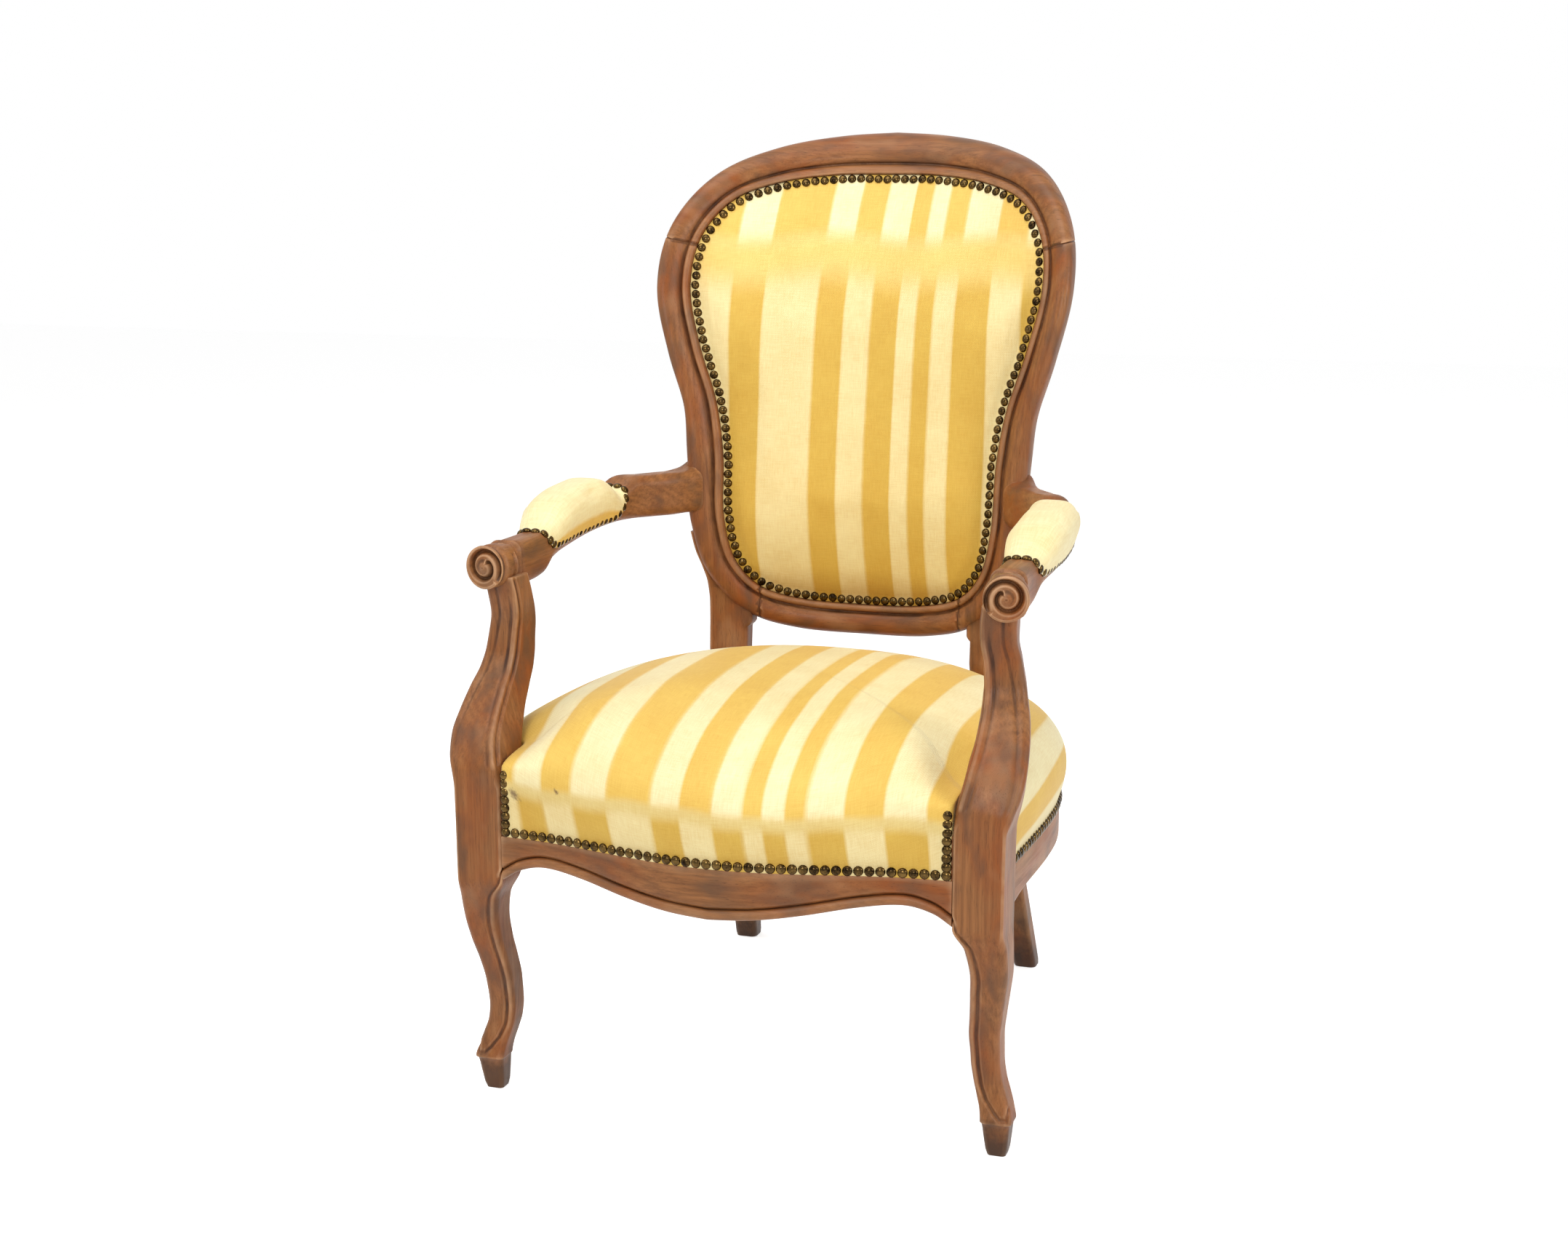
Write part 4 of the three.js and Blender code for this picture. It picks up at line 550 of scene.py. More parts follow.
def stripe_material(name, stripes, half, between, most=0.85):
    """Satin cloth with its sheen painted into the colour. stripes are the bands that look gold where the cloth
    stands upright, in millimetres across, each from and to. Where the cloth is turned up (sheen 1) the painted
    sheen swaps them, so the other bands look gold and both colours are lighter, and half-way (sheen 0.5) all
    bands go most of the way to the colour between, which is painted sheen too."""
    material, tree, shader = new_material(name)
    vector = attribute(tree, "cloth")
    sheen = attribute(tree, "sheen", "Fac")
    across = node(tree, "ShaderNodeSeparateXYZ", {0: vector}).outputs[0]
    place = span(tree, across, -half * MM, half * MM)
    mask = None
    for part in (stripes[:6], stripes[6:]):
        if not part:
            continue
        ramp = node(tree, "ShaderNodeValToRGB", {0: place})
        bands = ramp.color_ramp
        bands.elements[0].position, bands.elements[0].color = 0, (0, 0, 0, 1)
        bands.elements.remove(bands.elements[1])
        for start, end in part:
            for at, value in ((start - SOFT, 0), (start + SOFT, 1), (end - SOFT, 1), (end + SOFT, 0)):
                if abs(at) < half:
                    bands.elements.new((at + half) / (2 * half)).color = (value, value, value, 1)
        here = node(tree, "ShaderNodeSeparateColor", {0: ramp.outputs[0]}).outputs[0]
        mask = here if mask is None else math_node(tree, "MAXIMUM", mask, here)
    turned = math_node(tree, "SUBTRACT", 1.0, mask)
    # painted sheen: where the cloth turns up, the other bands are shown gold
    shown = node(tree, "ShaderNodeMix", {0: sheen, 2: mask, 3: turned}, data_type="FLOAT").outputs[0]
    # painted sheen: half-way, the stripes fade to the colour between
    halfway = math_node(tree, "PINGPONG", sheen, 0.5)
    halfway = span(tree, halfway, 0.0, 0.5, 0.0, most)
    # lit and unlit copies of the two colours: painted sheen makes them lighter where the cloth turns up
    pale = blend(tree, sheen, linear("F2E0A5"), linear("F6EAB8"))
    gold = blend(tree, sheen, linear("DBB550"), linear("E8C25F"))
    pale, gold = (blend(tree, halfway, colour, linear(between)) for colour in (pale, gold))
    cloth = use(tree, weave, {"Vector": vector, "Mask": shown, "Pale": pale, "Gold": gold})
    # painted shade: cloth in creases and where it turns under is darkened
    hollow = span(tree, attribute(tree, "relief", "Fac"), -0.1, -0.8, 0.0, 0.5)
    colour = blend(tree, hollow, cloth["Color"], linear("B58C3C"), "MULTIPLY")
    feed(tree, shader, {"Base Color": colour, "Roughness": math_node(tree, "ADD", cloth["Roughness"], 0.5),
                        "Specular IOR Level": 0.3, "Sheen Weight": 0.15, "Sheen Roughness": 0.4,
                        "Normal": bumped(tree, cloth["Height"], 0.0002, 0.5)})
    return material


def stain(material, spot, size, strength):
    """A dark spot at a place of the cloth."""
    tree = material.node_tree
    socket = tree.nodes["Principled BSDF"].inputs["Base Color"]
    vector = attribute(tree, "cloth")
    ragged = node(tree, "ShaderNodeTexNoise", {"Vector": vector, "Scale": 320.0, "Detail": 2.0}).outputs[0]
    far = node(tree, "ShaderNodeVectorMath", {0: vector, 1: tuple(spot)}, operation="DISTANCE").outputs[1]
    far = math_node(tree, "ADD", far, span(tree, ragged, 0.3, 0.7, -size / 3, size / 3))
    share = span(tree, far, size, size / 4, 0.0, strength)
    tree.links.new(blend(tree, share, socket.links[0].from_socket, linear("6B5138")), socket)


def metal_material(name, dark, light, rough):
    material, tree, shader = new_material(name)
    vector = in_object(tree)
    cloud = noise(tree, vector, 90.0, 3.0)
    fine = noise(tree, vector, 700.0, 3.0)
    share = span(tree, math_node(tree, "ADD", cloud, math_node(tree, "MULTIPLY", fine, 0.5)), 0.55, 0.95)
    feed(tree, shader, {"Base Color": blend(tree, share, linear(dark), linear(light)), "Metallic": 1.0,
                        "Roughness": span(tree, fine, 0.3, 0.7, rough - 0.08, rough + 0.12),
                        "Normal": bumped(tree, fine, 0.0002, 0.3)})
    return material


def plain_cloth(name, first, second):
    material, tree, shader = new_material(name)
    vector = in_object(tree)
    mask = span(tree, noise(tree, vector, 30.0), 0.4, 0.6)
    cloth = use(tree, weave, {"Vector": vector, "Pale": linear(first), "Gold": linear(second),
                              "Threads": 1500.0, "Mask": mask})
    feed(tree, shader, {"Base Color": cloth["Color"], "Normal": bumped(tree, cloth["Height"], 0.0006, 0.8),
                        "Roughness": math_node(tree, "ADD", cloth["Roughness"], 0.8)})
    return material


timber, wearing, weave = timber_group(), wear_group(), weave_group()
walnut = wood_material("walnut", "A0693C", "55321B", "8C4A1E", rub=0.9, dirt_and_shade_strength=0.82)
beech = wood_material("beech", "D2AD7E", "A87C4E", "BE8E5C", own_grain=False, gloss=0.6)
bronze = metal_material("bronze_nails", "1B130D", "66502C", 0.16)
steel = metal_material("steel", "6E6C68", "A3A19B", 0.4)
jute = plain_cloth("jute", "BCA577", "9C8354")
BACK_STRIPES = [(-260, -222), (-160, -121), (-59, -26), (6, 39), (61, 82), (108, 149), (186, 218)]
# the last colour of each cloth is its painted sheen half-way
back_cloth = stripe_material("back_cloth", BACK_STRIPES, 270, "F0CE70", 0.8)
SEAT_STRIPES = [(-346, -308), (-284, -254), (-222, -190), (-153, -110), (-59, -27), (7, 38), (58, 79),
                (100, 136), (173, 214), (268, 302), (334, 368)]
seat_cloth = stripe_material("seat_cloth", SEAT_STRIPES, 400, "DCCB84", 0.3)
pad_cloth = stripe_material("pad_cloth", [(-30, 120)], 100, "E6D48A")


# Frame of the back
FACE = [(0, 0), (.012, .22), (.04, .42), (.09, .53), (.14, .52), (.185, .4), (.215, .22), (.235, .05),
        (.25, 0), (.268, .03), (.29, .18), (.32, .4), (.37, .6), (.43, .77), (.5, .9), (.57, .98),
        (.64, 1), (.71, .95), (.78, .84), (.84, .66), (.895, .4), (.94, .08), (.97, -.3), (.99, -.8), (1, -1.5)]


def frame_profile(full_width):
    """Outward distance and depth of the points of the frame's section."""
    width = full_width - NAIL_BORDER
    face = [(NAIL_BORDER + a * width, -c * FRAME_CROWN) for a, c in FACE]
    rear = FRAME_DEPTH - FRAME_CROWN
    side = [(NAIL_BORDER + a * width, d) for a, d in (
        (1, 16), (1, 20), (.985, 23.5), (.95, 26.4), (.9, 27.8), (.84, rear), (.72, rear), (.5, rear),
        (.25, rear))]
    opening = NAIL_BORDER - LEDGE_WIDTH
    ledge = [(NAIL_BORDER + 1, rear), (NAIL_BORDER, rear - 1), (NAIL_BORDER, LEDGE_FRONT + LEDGE_THICK),
             (opening, LEDGE_FRONT + LEDGE_THICK), (opening, LEDGE_FRONT), (NAIL_BORDER, LEDGE_FRONT)]
    return np.array(face + side + ledge)


def frame_member(name, start, end, ends=(True, True)):
    """Part of the frame between two turns. Its ends are drawn in a little, so that a joint shows."""
    steps = max(int((end - start) * 520), 12)
    turns = np.linspace(start, end, steps + 1)
    nick = 0.8 / LINE_LENGTH
    draws = np.zeros(len(turns))
    if ends[0]:
        turns = np.insert(turns, 1, start + nick)
        draws = np.insert(draws, 0, 0.8)
    if ends[1]:
        turns = np.insert(turns, -1, end - nick)
        draws = np.append(draws, 0.8)
    rings = []
    for turn, draw in zip(turns, draws):
        way = (turn % 1) * 2
        way = way if way <= 1 else 2 - way
        profile = frame_profile(FRAME_WIDTH * table(FRAME_WIDTHS, way, 1))
        middle = profile.mean(0)
        gap = profile - middle
        profile = profile - gap / np.linalg.norm(gap, axis=1, keepdims=True) * draw
        rings.append(off_line(turn, profile[:, 0], profile[:, 1]))
    return loft(name, rings)


finish_wood(frame_member("crest", SHOULDER + GAP_TURN / 2, 1 - SHOULDER - GAP_TURN / 2), "x", "crest_rail",
            (130, 330, 955))
lower = frame_member("lower_rail", -RAIL_END, RAIL_END, (False, False))
edge = RAIL_JOINT - 0.35
boolean(lower, box((-edge, -300, 0), (edge, 400, 700)), "INTERSECT")
finish_wood(lower, "x", "lower_back_rail", (-80, 150, 492))


def rounded(width, depth, corner, steps=5, straight=4):
    """Points round a rounded rectangle and the outward direction at each."""
    points, out = [], []
    for index, (sx, sy) in enumerate(((1, 1), (-1, 1), (-1, -1), (1, -1))):
        for step in range(steps + 1):
            angle = math.pi / 2 * (index + step / steps)
            turn = np.array([math.cos(angle), math.sin(angle)])
            points.append(np.array([sx * (width / 2 - corner), sy * (depth / 2 - corner)]) + corner * turn)
            out.append(turn)
        nx, ny = ((-1, 1), (-1, -1), (1, -1), (1, 1))[index]
        after = np.array([nx * (width / 2 - corner), ny * (depth / 2 - corner)]) + corner * turn
        start = points[-1]
        for step in range(1, straight + 1):
            points.append(mix(start, after, step / (straight + 1)))
            out.append(turn)
    return np.array(points), np.array(out)


def back_leg():
    rings = []
    width, middle = BACK_OUTER - BACK_INNER, (BACK_OUTER + BACK_INNER) / 2
    middle_depth = LEDGE_FRONT + POST_DEPTH / 2
    behind = back_place(middle, POST_FOOT, middle_depth - BACK_FORWARD)
    for share in np.linspace(0, 1, 70):
        to_foot, to_rear, swell = (table(BACK_LEG, share, k) for k in (1, 2, 3))
        w, d = mix(BACK_FOOT, width, swell), mix(BACK_FOOT, POST_DEPTH, swell)
        worn = 1.4 * bump(share * POST_FOOT, 3.5)
        section, _ = rounded(w - worn, d - worn, 5 + 2 * bump(share * POST_FOOT, 30))
        x, y = mix(middle, BACK_FOOT_OUT, to_foot), mix(behind, BACK_FOOT_BEHIND, to_rear)
        shear = 0.6 * swell * 2 * BACK_HOLLOW * middle / BACK_HALF ** 2
        rings.append(xyz(x + section[:, 0], y + section[:, 1] - shear * section[:, 0], share * POST_FOOT))
    for share in np.linspace(0, 1, 50)[1:]:
        z = mix(POST_FOOT, BACK_TOP, share)
        inner = BACK_INNER + width * table(POST_INNER, share, 1, False)
        outer = BACK_OUTER + width * table(POST_OUTER, share, 1, False)
        section, _ = rounded(outer - inner, POST_DEPTH, 5)
        centre = (inner + outer) / 2
        depth = middle_depth - mix(BACK_FORWARD, 0, share)
        hollow = centre + section[:, 0] * mix(0.6, 1, share)
        rings.append(xyz(centre + section[:, 0], back_place(hollow, z, depth + section[:, 1]), z))
    return loft("leg", rings)


post = frame_member("back_post_r", POST_START, SHOULDER - GAP_TURN / 2, (False, True))
boolean(post, box((-5, -300, 0), (RAIL_JOINT, 400, NAIL_BOTTOM + NAIL_HEIGHT / 4)), "DIFFERENCE")
boolean(post, back_leg(), "UNION")
boolean(post, box((0, -300, -10), (400, 500, 0)), "DIFFERENCE")
finish_pair(post, "back_post_l", "z", "back_post", (196, 215, 640), (-150, 222, 560))


# Front posts: leg, block and arm support in one piece
def front_rows():
    rows = [(up * LEG_TOP, out, back, side, 0, 0.06 if up == 1 else 0.2) for up, out, back, side in FRONT_LEG]
    for up, out, back, side, turn in SUPPORT:
        rows.append((mix(RAIL_TOP, SCROLL_Z, up), out, back, side, turn, 0.06 if up == 0 else 0.17))
    return rows


FRONT_ROWS = front_rows()


# Groove of the front leg: millimetres from the inner front edge, and height
LEG_GROOVE = [(-8, 266), (0, 257), (7, 237), (8, 200), (7, 120), (7, 72), (9, 60), (14, 50)]


def from_line(p, z, line):
    """Distance of the points p of one level from a line of corners (p, z)."""
    far = np.full(len(p), 1e9)
    for (p0, z0), (p1, z1) in zip(line, line[1:]):
        run, rise = p1 - p0, z1 - z0
        share = np.clip(((p - p0) * run + (z - z0) * rise) / (run ** 2 + rise ** 2), 0, 1)
        far = np.minimum(far, np.hypot(p - mix(p0, p1, share), z - mix(z0, z1, share)))
    return far


GROOVE_DEEP, GROOVE_WIDE, CREASE_DEEP = 1.9, 2.3, 1.3


def carve(p, half, z):
    """Height of the carving at p millimetres from the inner front edge: over the front face p counts
    up, over the inner face down."""
    face = 2 * half
    lift = np.zeros(len(p))
    # From the apron's groove down the inner edge, then round the toe to the outer side
    if 36 < z < 272:
        toe = [(0.62 * face, 43), (0.85 * face, 43), (1.02 * face, 52)]
        lift -= ease(36, 40, z) * GROOVE_DEEP * bump(from_line(p, z, LEG_GROOVE + toe), GROOVE_WIDE)
        lift += ease(62, 80, z) * ease(252, 236, z) * 0.9 * bump(p - 2.5, 3.0)
    # Bead of the support, with a round end over the seat's nails; its groove runs on to the scroll
    top = ease(366, 374, z) * (1 - ease(500, 545, z))
    groove = ease(364, 376, z) * (1 - ease(552, 560, z))
    if groove > 0:
        lift += top * 2.0 * ease(6.5, 3.5, p) * ease(-1.5, 1.5, p)
        lift -= top * 1.2 * bump(p - 8.6, 1.9)
        lift -= groove * GROOVE_DEEP * bump(p + 3.4, 2.2)
    # A crease parts the front face from the outer side, from under the scroll to the block
    crease = ease(346, 380, z) * (1 - ease(552, 560, z))
    if crease > 0:
        lift -= crease * CREASE_DEEP * bump(p - face * mix(0.84, 0.62, ease(360, 540, z)), GROOVE_WIDE)
    return lift


SUPPORT_TURN = 12       # degrees that the support and the scroll are turned outward


def turned(x, y, degrees):
    angle = math.radians(degrees)
    return x * math.cos(angle) - y * math.sin(angle), x * math.sin(angle) + y * math.cos(angle)


def front_post():
    levels = np.concatenate([np.linspace(*part) for part in (
        (0, 36, 12), (37, 70, 26), (71.5, 232, 84), (234, 268, 22), (271, 346, 26), (348, 557, 110))])
    rings = []
    for z in levels:
        out, back, side, turn, corner = (table(FRONT_ROWS, z, k, False) for k in range(1, 6))
        width = side * POST
        depth = width * mix(1, 0.95, turn)
        worn = 2.0 * bump(z, 4)
        section, normal = rounded(width - worn, depth - worn, width * corner, 10, 26)
        near = int(np.argmin(section[:, 0] + section[:, 1]))
        step = np.linalg.norm(np.diff(np.vstack([section, section[:1]]), axis=0), axis=1)
        way = np.concatenate([[0], np.cumsum(step)])[:-1]
        round_way = step.sum()
        p = (way - way[near] + round_way / 2) % round_way - round_way / 2
        shape = section + normal * carve(p, depth / 2, z)[:, None]
        x, y = turned(shape[:, 0], shape[:, 1], SUPPORT_TURN * turn)
        rings.append(xyz(POST_OUT + out * POST + x, -POST_AHEAD + back * POST + y, z))
    return loft("front_post_r", rings)


finish_pair(front_post(), "front_post_l", "z", "front_post", (316, -300, 300), (-230, -210, 300))


# Seat rails
FACE_TOP = RAIL_NAILS - 1       # where the face ends and the ledge of the cover begins
RAIL_STEP = 14                  # thickness of the rail's lower part that goes down beside the webbing


def rail_face(x):
    share = np.minimum(1, np.abs(x) / INNER_FACE)
    return FRONT_FACE - FRONT_BOW * np.cos(share * np.pi / 2) ** 2


def apron(x):
    return WEBBING - APRON_DROP * table(APRON, np.minimum(1, np.abs(x) / INNER_FACE), 1)


def front_rail():
    rings = []
    arc = np.linspace(-0.75 * math.pi / 2 * 1.3, math.pi / 2, 9)
    for x in np.linspace(-INNER_FACE + GAP, INNER_FACE - GAP, 150):
        face, low = float(rail_face(x)), float(apron(x))
        inner = face + RAIL_THICK
        rebate = max(low + 1, WEBBING + GAP)
        step = inner - RAIL_STEP
        section = [(inner, rebate), (step, rebate), (step, low + 0.5), (face + 6, low)]
        section += [(face + 5.5 - 5.5 * math.cos(a), low + 5.5 + 5.5 * math.sin(a)) for a in arc]
        section += [(face + 4.4, low + 11.8), (face + 3.2, low + 13), (face + 1.6, low + 14.2)]
        section += [(face + 1, mix(low + 16, FACE_TOP, s)) for s in (0, 0.35, 0.7, 1)]
        section += [(face + 1.6, RAIL_NAILS), (face + REBATE, RAIL_NAILS), (face + REBATE, RAIL_TOP - REBATE),
                    (face + 2 * REBATE, RAIL_TOP), (inner, RAIL_TOP)]
        rings.append([(x, y, z) for y, z in section])
    return loft("front_rail", rings)


finish_wood(front_rail(), "x", "front_seat_rail", (60, -235, 262))

BACK_POST_FRONT = float(back_place(BACK_OUTER, POST_FOOT, LEDGE_FRONT - BACK_FORWARD))
RAIL_RUN = (BACK_FACE + GAP, BACK_POST_FRONT + FRAME_DEPTH / 2)


def side_rail_outer(share):
    return mix(POST_OUT + POST / 2 - SIDE_BOW, BACK_OUTER, table(SIDE_RAIL, share, 1))


def side_rail_point(share, inward):
    start, end = RAIL_RUN
    slope = (side_rail_outer(share + .01) - side_rail_outer(share - .01)) / (.02 * (end - start))
    length = np.hypot(1, slope)
    turn = np.minimum(1, share / 0.25)
    return (side_rail_outer(share) - inward / mix(1, length, turn),
            mix(start, end, share) - turn * inward * slope / length)


def side_rail():
    rings = []
    for share in np.linspace(0, 1, 70):
        low = SIDE_BOTTOM - 11 * max(0.0, 1 - share / 0.2) ** 2
        step = SIDE_THICK - RAIL_STEP
        section = [(SIDE_THICK, WEBBING + GAP), (step, WEBBING + GAP), (step, low), (3, low), (1.4, low + .5),
                   (.4, low + 1.5), (0, low + 3.2), (0, mix(low, FACE_TOP, .5)), (0, FACE_TOP),
                   (.6, RAIL_NAILS), (REBATE, RAIL_NAILS), (REBATE, RAIL_TOP - REBATE), (2 * REBATE, RAIL_TOP),
                   (SIDE_THICK, RAIL_TOP)]
        rings.append([(*side_rail_point(share, inward), z) for inward, z in section])
    return loft("side_rail_r", rings)


finish_pair(side_rail(), "side_rail_l", "y", "side_seat_rail", (190, -40, 250), (-200, -40, 240))


# Arms
ARM_RUN = ARM_Y - SCROLL_Y
ARM_ROUND = 0.3         # radius of the arm's corners, from its width


def arm_row(share):
    top = mix(ARM_TOP, SCROLL_Z + SCROLL_R, table(ARM, share, 2))
    return (ARM_X + ARM_BOW * table(ARM, share, 1), ARM_Y - ARM_RUN * share, top,
            ARM_H * table(ARM, share, 3), ARM_W * table(ARM, share, 4))


def arm_body():
    rings = []
    last = 1 - SCROLL_LONG / 2 / ARM_RUN
    for share in np.linspace(0, last, 150):
        x, y, top, height, width = arm_row(share)
        section, normal = rounded(width, height, width * ARM_ROUND, 6, 5)
        # Two grooves round the arm behind the scroll, with a bead between
        behind = y - (SCROLL_Y + SCROLL_LONG)
        ring = -2.2 * bump(behind - 1.5, 2.2) + 1.6 * bump(behind - 7, 2.8) - 1.8 * bump(behind - 12.5, 2.2)
        shape = section + normal * ring
        px = x + shape[:, 0]
        # The rear end draws out of the post's side instead of over its face
        free = 1 - ease(84, 108, y)
        limit = mix(199.0, 100.0, free)
        px = np.where(px < limit + 4, limit + 4 * np.exp((px - limit - 4) / 4), px)
        rings.append(xyz(px, y, top - height / 2 + shape[:, 1]))
    return loft("arm_r", rings)


def scroll():
    """A roll whose front face winds inward: a groove runs from the rim round to the eye."""
    turns = 1.3
    angles = np.linspace(0, 2 * math.pi, 168, endpoint=False)
    angle, radius = np.meshgrid(angles, np.linspace(0.03, 1, 60), indexing="xy")
    depth = 2.2 * (1 - radius)
    for winding in range(3):
        # the band comes up the inner side of the support, goes over the top and winds in to the eye
        total = (math.radians(225) - angle) % (2 * math.pi) / (2 * math.pi) + winding
        way = np.clip(total / turns, 0, 1)
        groove = 0.93 - 0.6 * way
        live = ease(turns + 0.03, turns - 0.06, total)
        start = ease(-0.02, 0.1, total) if winding == 0 else 1.0
        depth += live * start * mix(7.5, 5.5, way) * bump(radius - groove, mix(0.12, 0.1, way))
    depth += 1.6 * np.clip((radius - 0.88) / 0.12, 0, 1) ** 2
    depth -= 3.4 * bump(radius, 0.22)
    rows = [xyz(radius * np.cos(angle) * SCROLL_R, depth + 1.6, radius * np.sin(angle) * SCROLL_R)]
    # outward share of the radius and distance behind the face
    profile = [(1, 4.2), (1.015, 5.5), (1, 7.2), (.94, 8.6), (.885, 9.8), (.87, 11), (.9, 12.2), (.965, 13.4),
               (1, 15), (1.01, 18), (1, 22), (.985, 26), (.93, 28.4), (.88, 30), (.9, 32), (.95, 34)]
    for out, back in profile:
        rows.append(xyz(out * np.cos(angles) * SCROLL_R, back, out * np.sin(angles) * SCROLL_R)[None])
    rings = np.concatenate(rows)
    x, y = turned(rings[..., 0], rings[..., 1], SUPPORT_TURN)
    rings = xyz(SCROLL_X + x, SCROLL_Y + y, SCROLL_Z + rings[..., 2])
    return loft("scroll", rings, ((SCROLL_X, SCROLL_Y, SCROLL_Z), None))


arm = boolean(arm_body(), scroll(), "UNION")
arm.name = arm.data.name = "arm_r"
finish_pair(arm, "arm_l", "y", "arm", (262, -60, 560), (-268, -60, 545))


# Cushions
SETTLE_FRAMES = 20


def settle(obj, pinned, cap, pressure, grow):
    """Cloth on a copy of the mesh; no point ends further than cap from its start."""
    scene = bpy.context.scene
    copy = add_object("settling", obj.data.copy())
    hold = copy.vertex_groups.new(name="hold")
    for weight in (1.0, 0.5):
        hold.add([int(k) for k in np.nonzero(np.isclose(pinned, weight))[0]], weight, "REPLACE")
    change = copy.modifiers.new("cloth", "CLOTH")
    cloth = change.settings
    cloth.quality, cloth.mass = 6, 0.25
    cloth.use_pressure, cloth.uniform_pressure_force = True, pressure
    cloth.effector_weights.gravity = 0
    cloth.vertex_group_mass = "hold"
    cloth.tension_stiffness = cloth.compression_stiffness = 12
    cloth.shear_stiffness, cloth.bending_stiffness = 5, 0.4
    cloth.shrink_min = -grow
    change.collision_settings.use_collision = False
    change.point_cache.frame_start, change.point_cache.frame_end = 1, SETTLE_FRAMES
    for step in range(1, SETTLE_FRAMES + 1):
        scene.frame_set(step)
    graph = bpy.context.evaluated_depsgraph_get()
    after = coordinates(copy.evaluated_get(graph).data)
    before = coordinates(obj.data)
    move = after - before
    a, b = edge_ends(obj.data)
    count = summed(a, b, np.ones(len(move)))
    for _ in range(6):
        near = [summed(a, b, move[:, k]) for k in range(3)]
        move = 0.5 * move + 0.5 * np.stack(near, 1) / count[:, None]
    far = np.linalg.norm(move, axis=1)
    move *= (np.minimum(far, cap * MM) / np.maximum(far, 1e-9))[:, None]
    obj.data.vertices.foreach_set("co", (before + move).ravel())
    obj.data.update()
    bpy.data.objects.remove(copy)
    scene.frame_set(1)


def finish_cloth(obj, cloth, material, nodes, sheen, shade=0.0):
    """cloth holds each point's place across and along the cloth; sheen is painted sheen, and shade is painted
    shade that darkens it.
    """
    store(obj.data, "cloth", "FLOAT_VECTOR", cloth * MM)
    store(obj.data, "sheen", "FLOAT", np.broadcast_to(sheen, len(cloth)))
    store(obj.data, "relief", "FLOAT", relief(obj.data, 8, least=3.0) - shade)
    obj.data.shade_smooth()
    dress(obj, material, "striped_fabric", *nodes)


# Seat
COVER_OUT = REBATE - GAP - COVER
SEAT_LOW = RAIL_NAILS + GAP
OVER_NAILS = RAIL_NAILS + NAIL + GAP
REAR_MIDDLE = float(back_place(BACK_INNER, POST_FOOT, FRAME_DEPTH / 2 - BACK_FORWARD))
RAIL_REAR = REAR_MIDDLE + 12
SEAT_MIDDLE = (FRONT_FACE + REAR_MIDDLE) / 2


def seat_edge(inward):
    xs = np.linspace(-INNER_FACE + GAP, INNER_FACE - GAP, 84)
    front = np.stack([xs, rail_face(xs) + inward], 1)
    corner_x, corner_y = POST_OUT + POST / 2 - SIDE_BOW - inward, FRONT_FACE + inward
    corner = [(x, corner_y) for x in np.linspace(INNER_FACE, corner_x, 10)[1:-1]]
    corner += [(corner_x, y) for y in np.linspace(corner_y, BACK_FACE, 10)]
    sides = [side_rail_point(s, inward) for s in np.linspace(0.01, 1, 64)]
    rear_y = RAIL_REAR + REBATE - inward
    last = sides[-1]
    rear = [(mix(last[0], BACK_INNER, s), mix(last[1], rear_y, s)) for s in np.linspace(0, 1, 8)[1:]]
    rear += [(x, rear_y) for x in np.linspace(BACK_INNER, 0, 22)[1:]]
    right = np.array(corner + sides + rear)
    left = right[:-1][::-1] * (-1, 1)
    return np.vstack([front, right, left])


def quilt(edge):
    x, y = np.abs(edge[:, 0]), edge[:, 1]
    near = np.minimum.reduce([np.hypot(x - INNER_FACE, y - FRONT_FACE),
                              np.hypot(x - POST_OUT - POST / 2, y - BACK_FACE),
                              np.hypot(x - BACK_OUTER, y - BACK_POST_FRONT)])
    return ease(0, 90, near)


def overlap(deep_x, deep_y):
    """How far to move points that lie so deep in a post's corner. The move starts softly."""
    push = np.logaddexp(0, np.minimum(deep_x, deep_y) / 1.6) * 1.6
    return np.where((deep_x > -6) & (deep_y > -6), push, 0)


def beside_posts(points):
    """Draws the cushion out of the space of the four posts, towards the seat's middle."""
    x, y, z = points.T
    side = np.where(x < 0, -1.0, 1.0)
    x = np.abs(x)
    out, back, size = (table(FRONT_ROWS, z, k, False) for k in (1, 2, 3))
    inner = POST_OUT + out * POST - size * POST / 2 - 1.0
    rear = -POST_AHEAD + back * POST + size * POST / 2 + 1.0
    push = overlap(x - inner, rear - y)
    x, y = x - push, y + push
    middle = (BACK_OUTER + BACK_INNER) / 2
    base = float(back_place(middle, POST_FOOT, LEDGE_FRONT + POST_DEPTH / 2 - BACK_FORWARD))
    share = np.clip(z / POST_FOOT, 0, 1)
    swell = table(BACK_LEG, share, 3)
    centre = mix(middle, BACK_FOOT_OUT, table(BACK_LEG, share, 1))
    width = mix(BACK_FOOT, BACK_OUTER - BACK_INNER, swell)
    ahead = mix(base, BACK_FOOT_BEHIND, table(BACK_LEG, share, 2)) - mix(BACK_FOOT, POST_DEPTH, swell) / 2
    face = ahead - 0.236 * (x - centre) - 1.0
    push = overlap(x - (centre - width / 2 - 1.0), y - face)
    return xyz(side * (x - push), y - push, z)


RING_STEP, RING_BLUR, SHARP_EDGE = 11 / 3, 15, 22


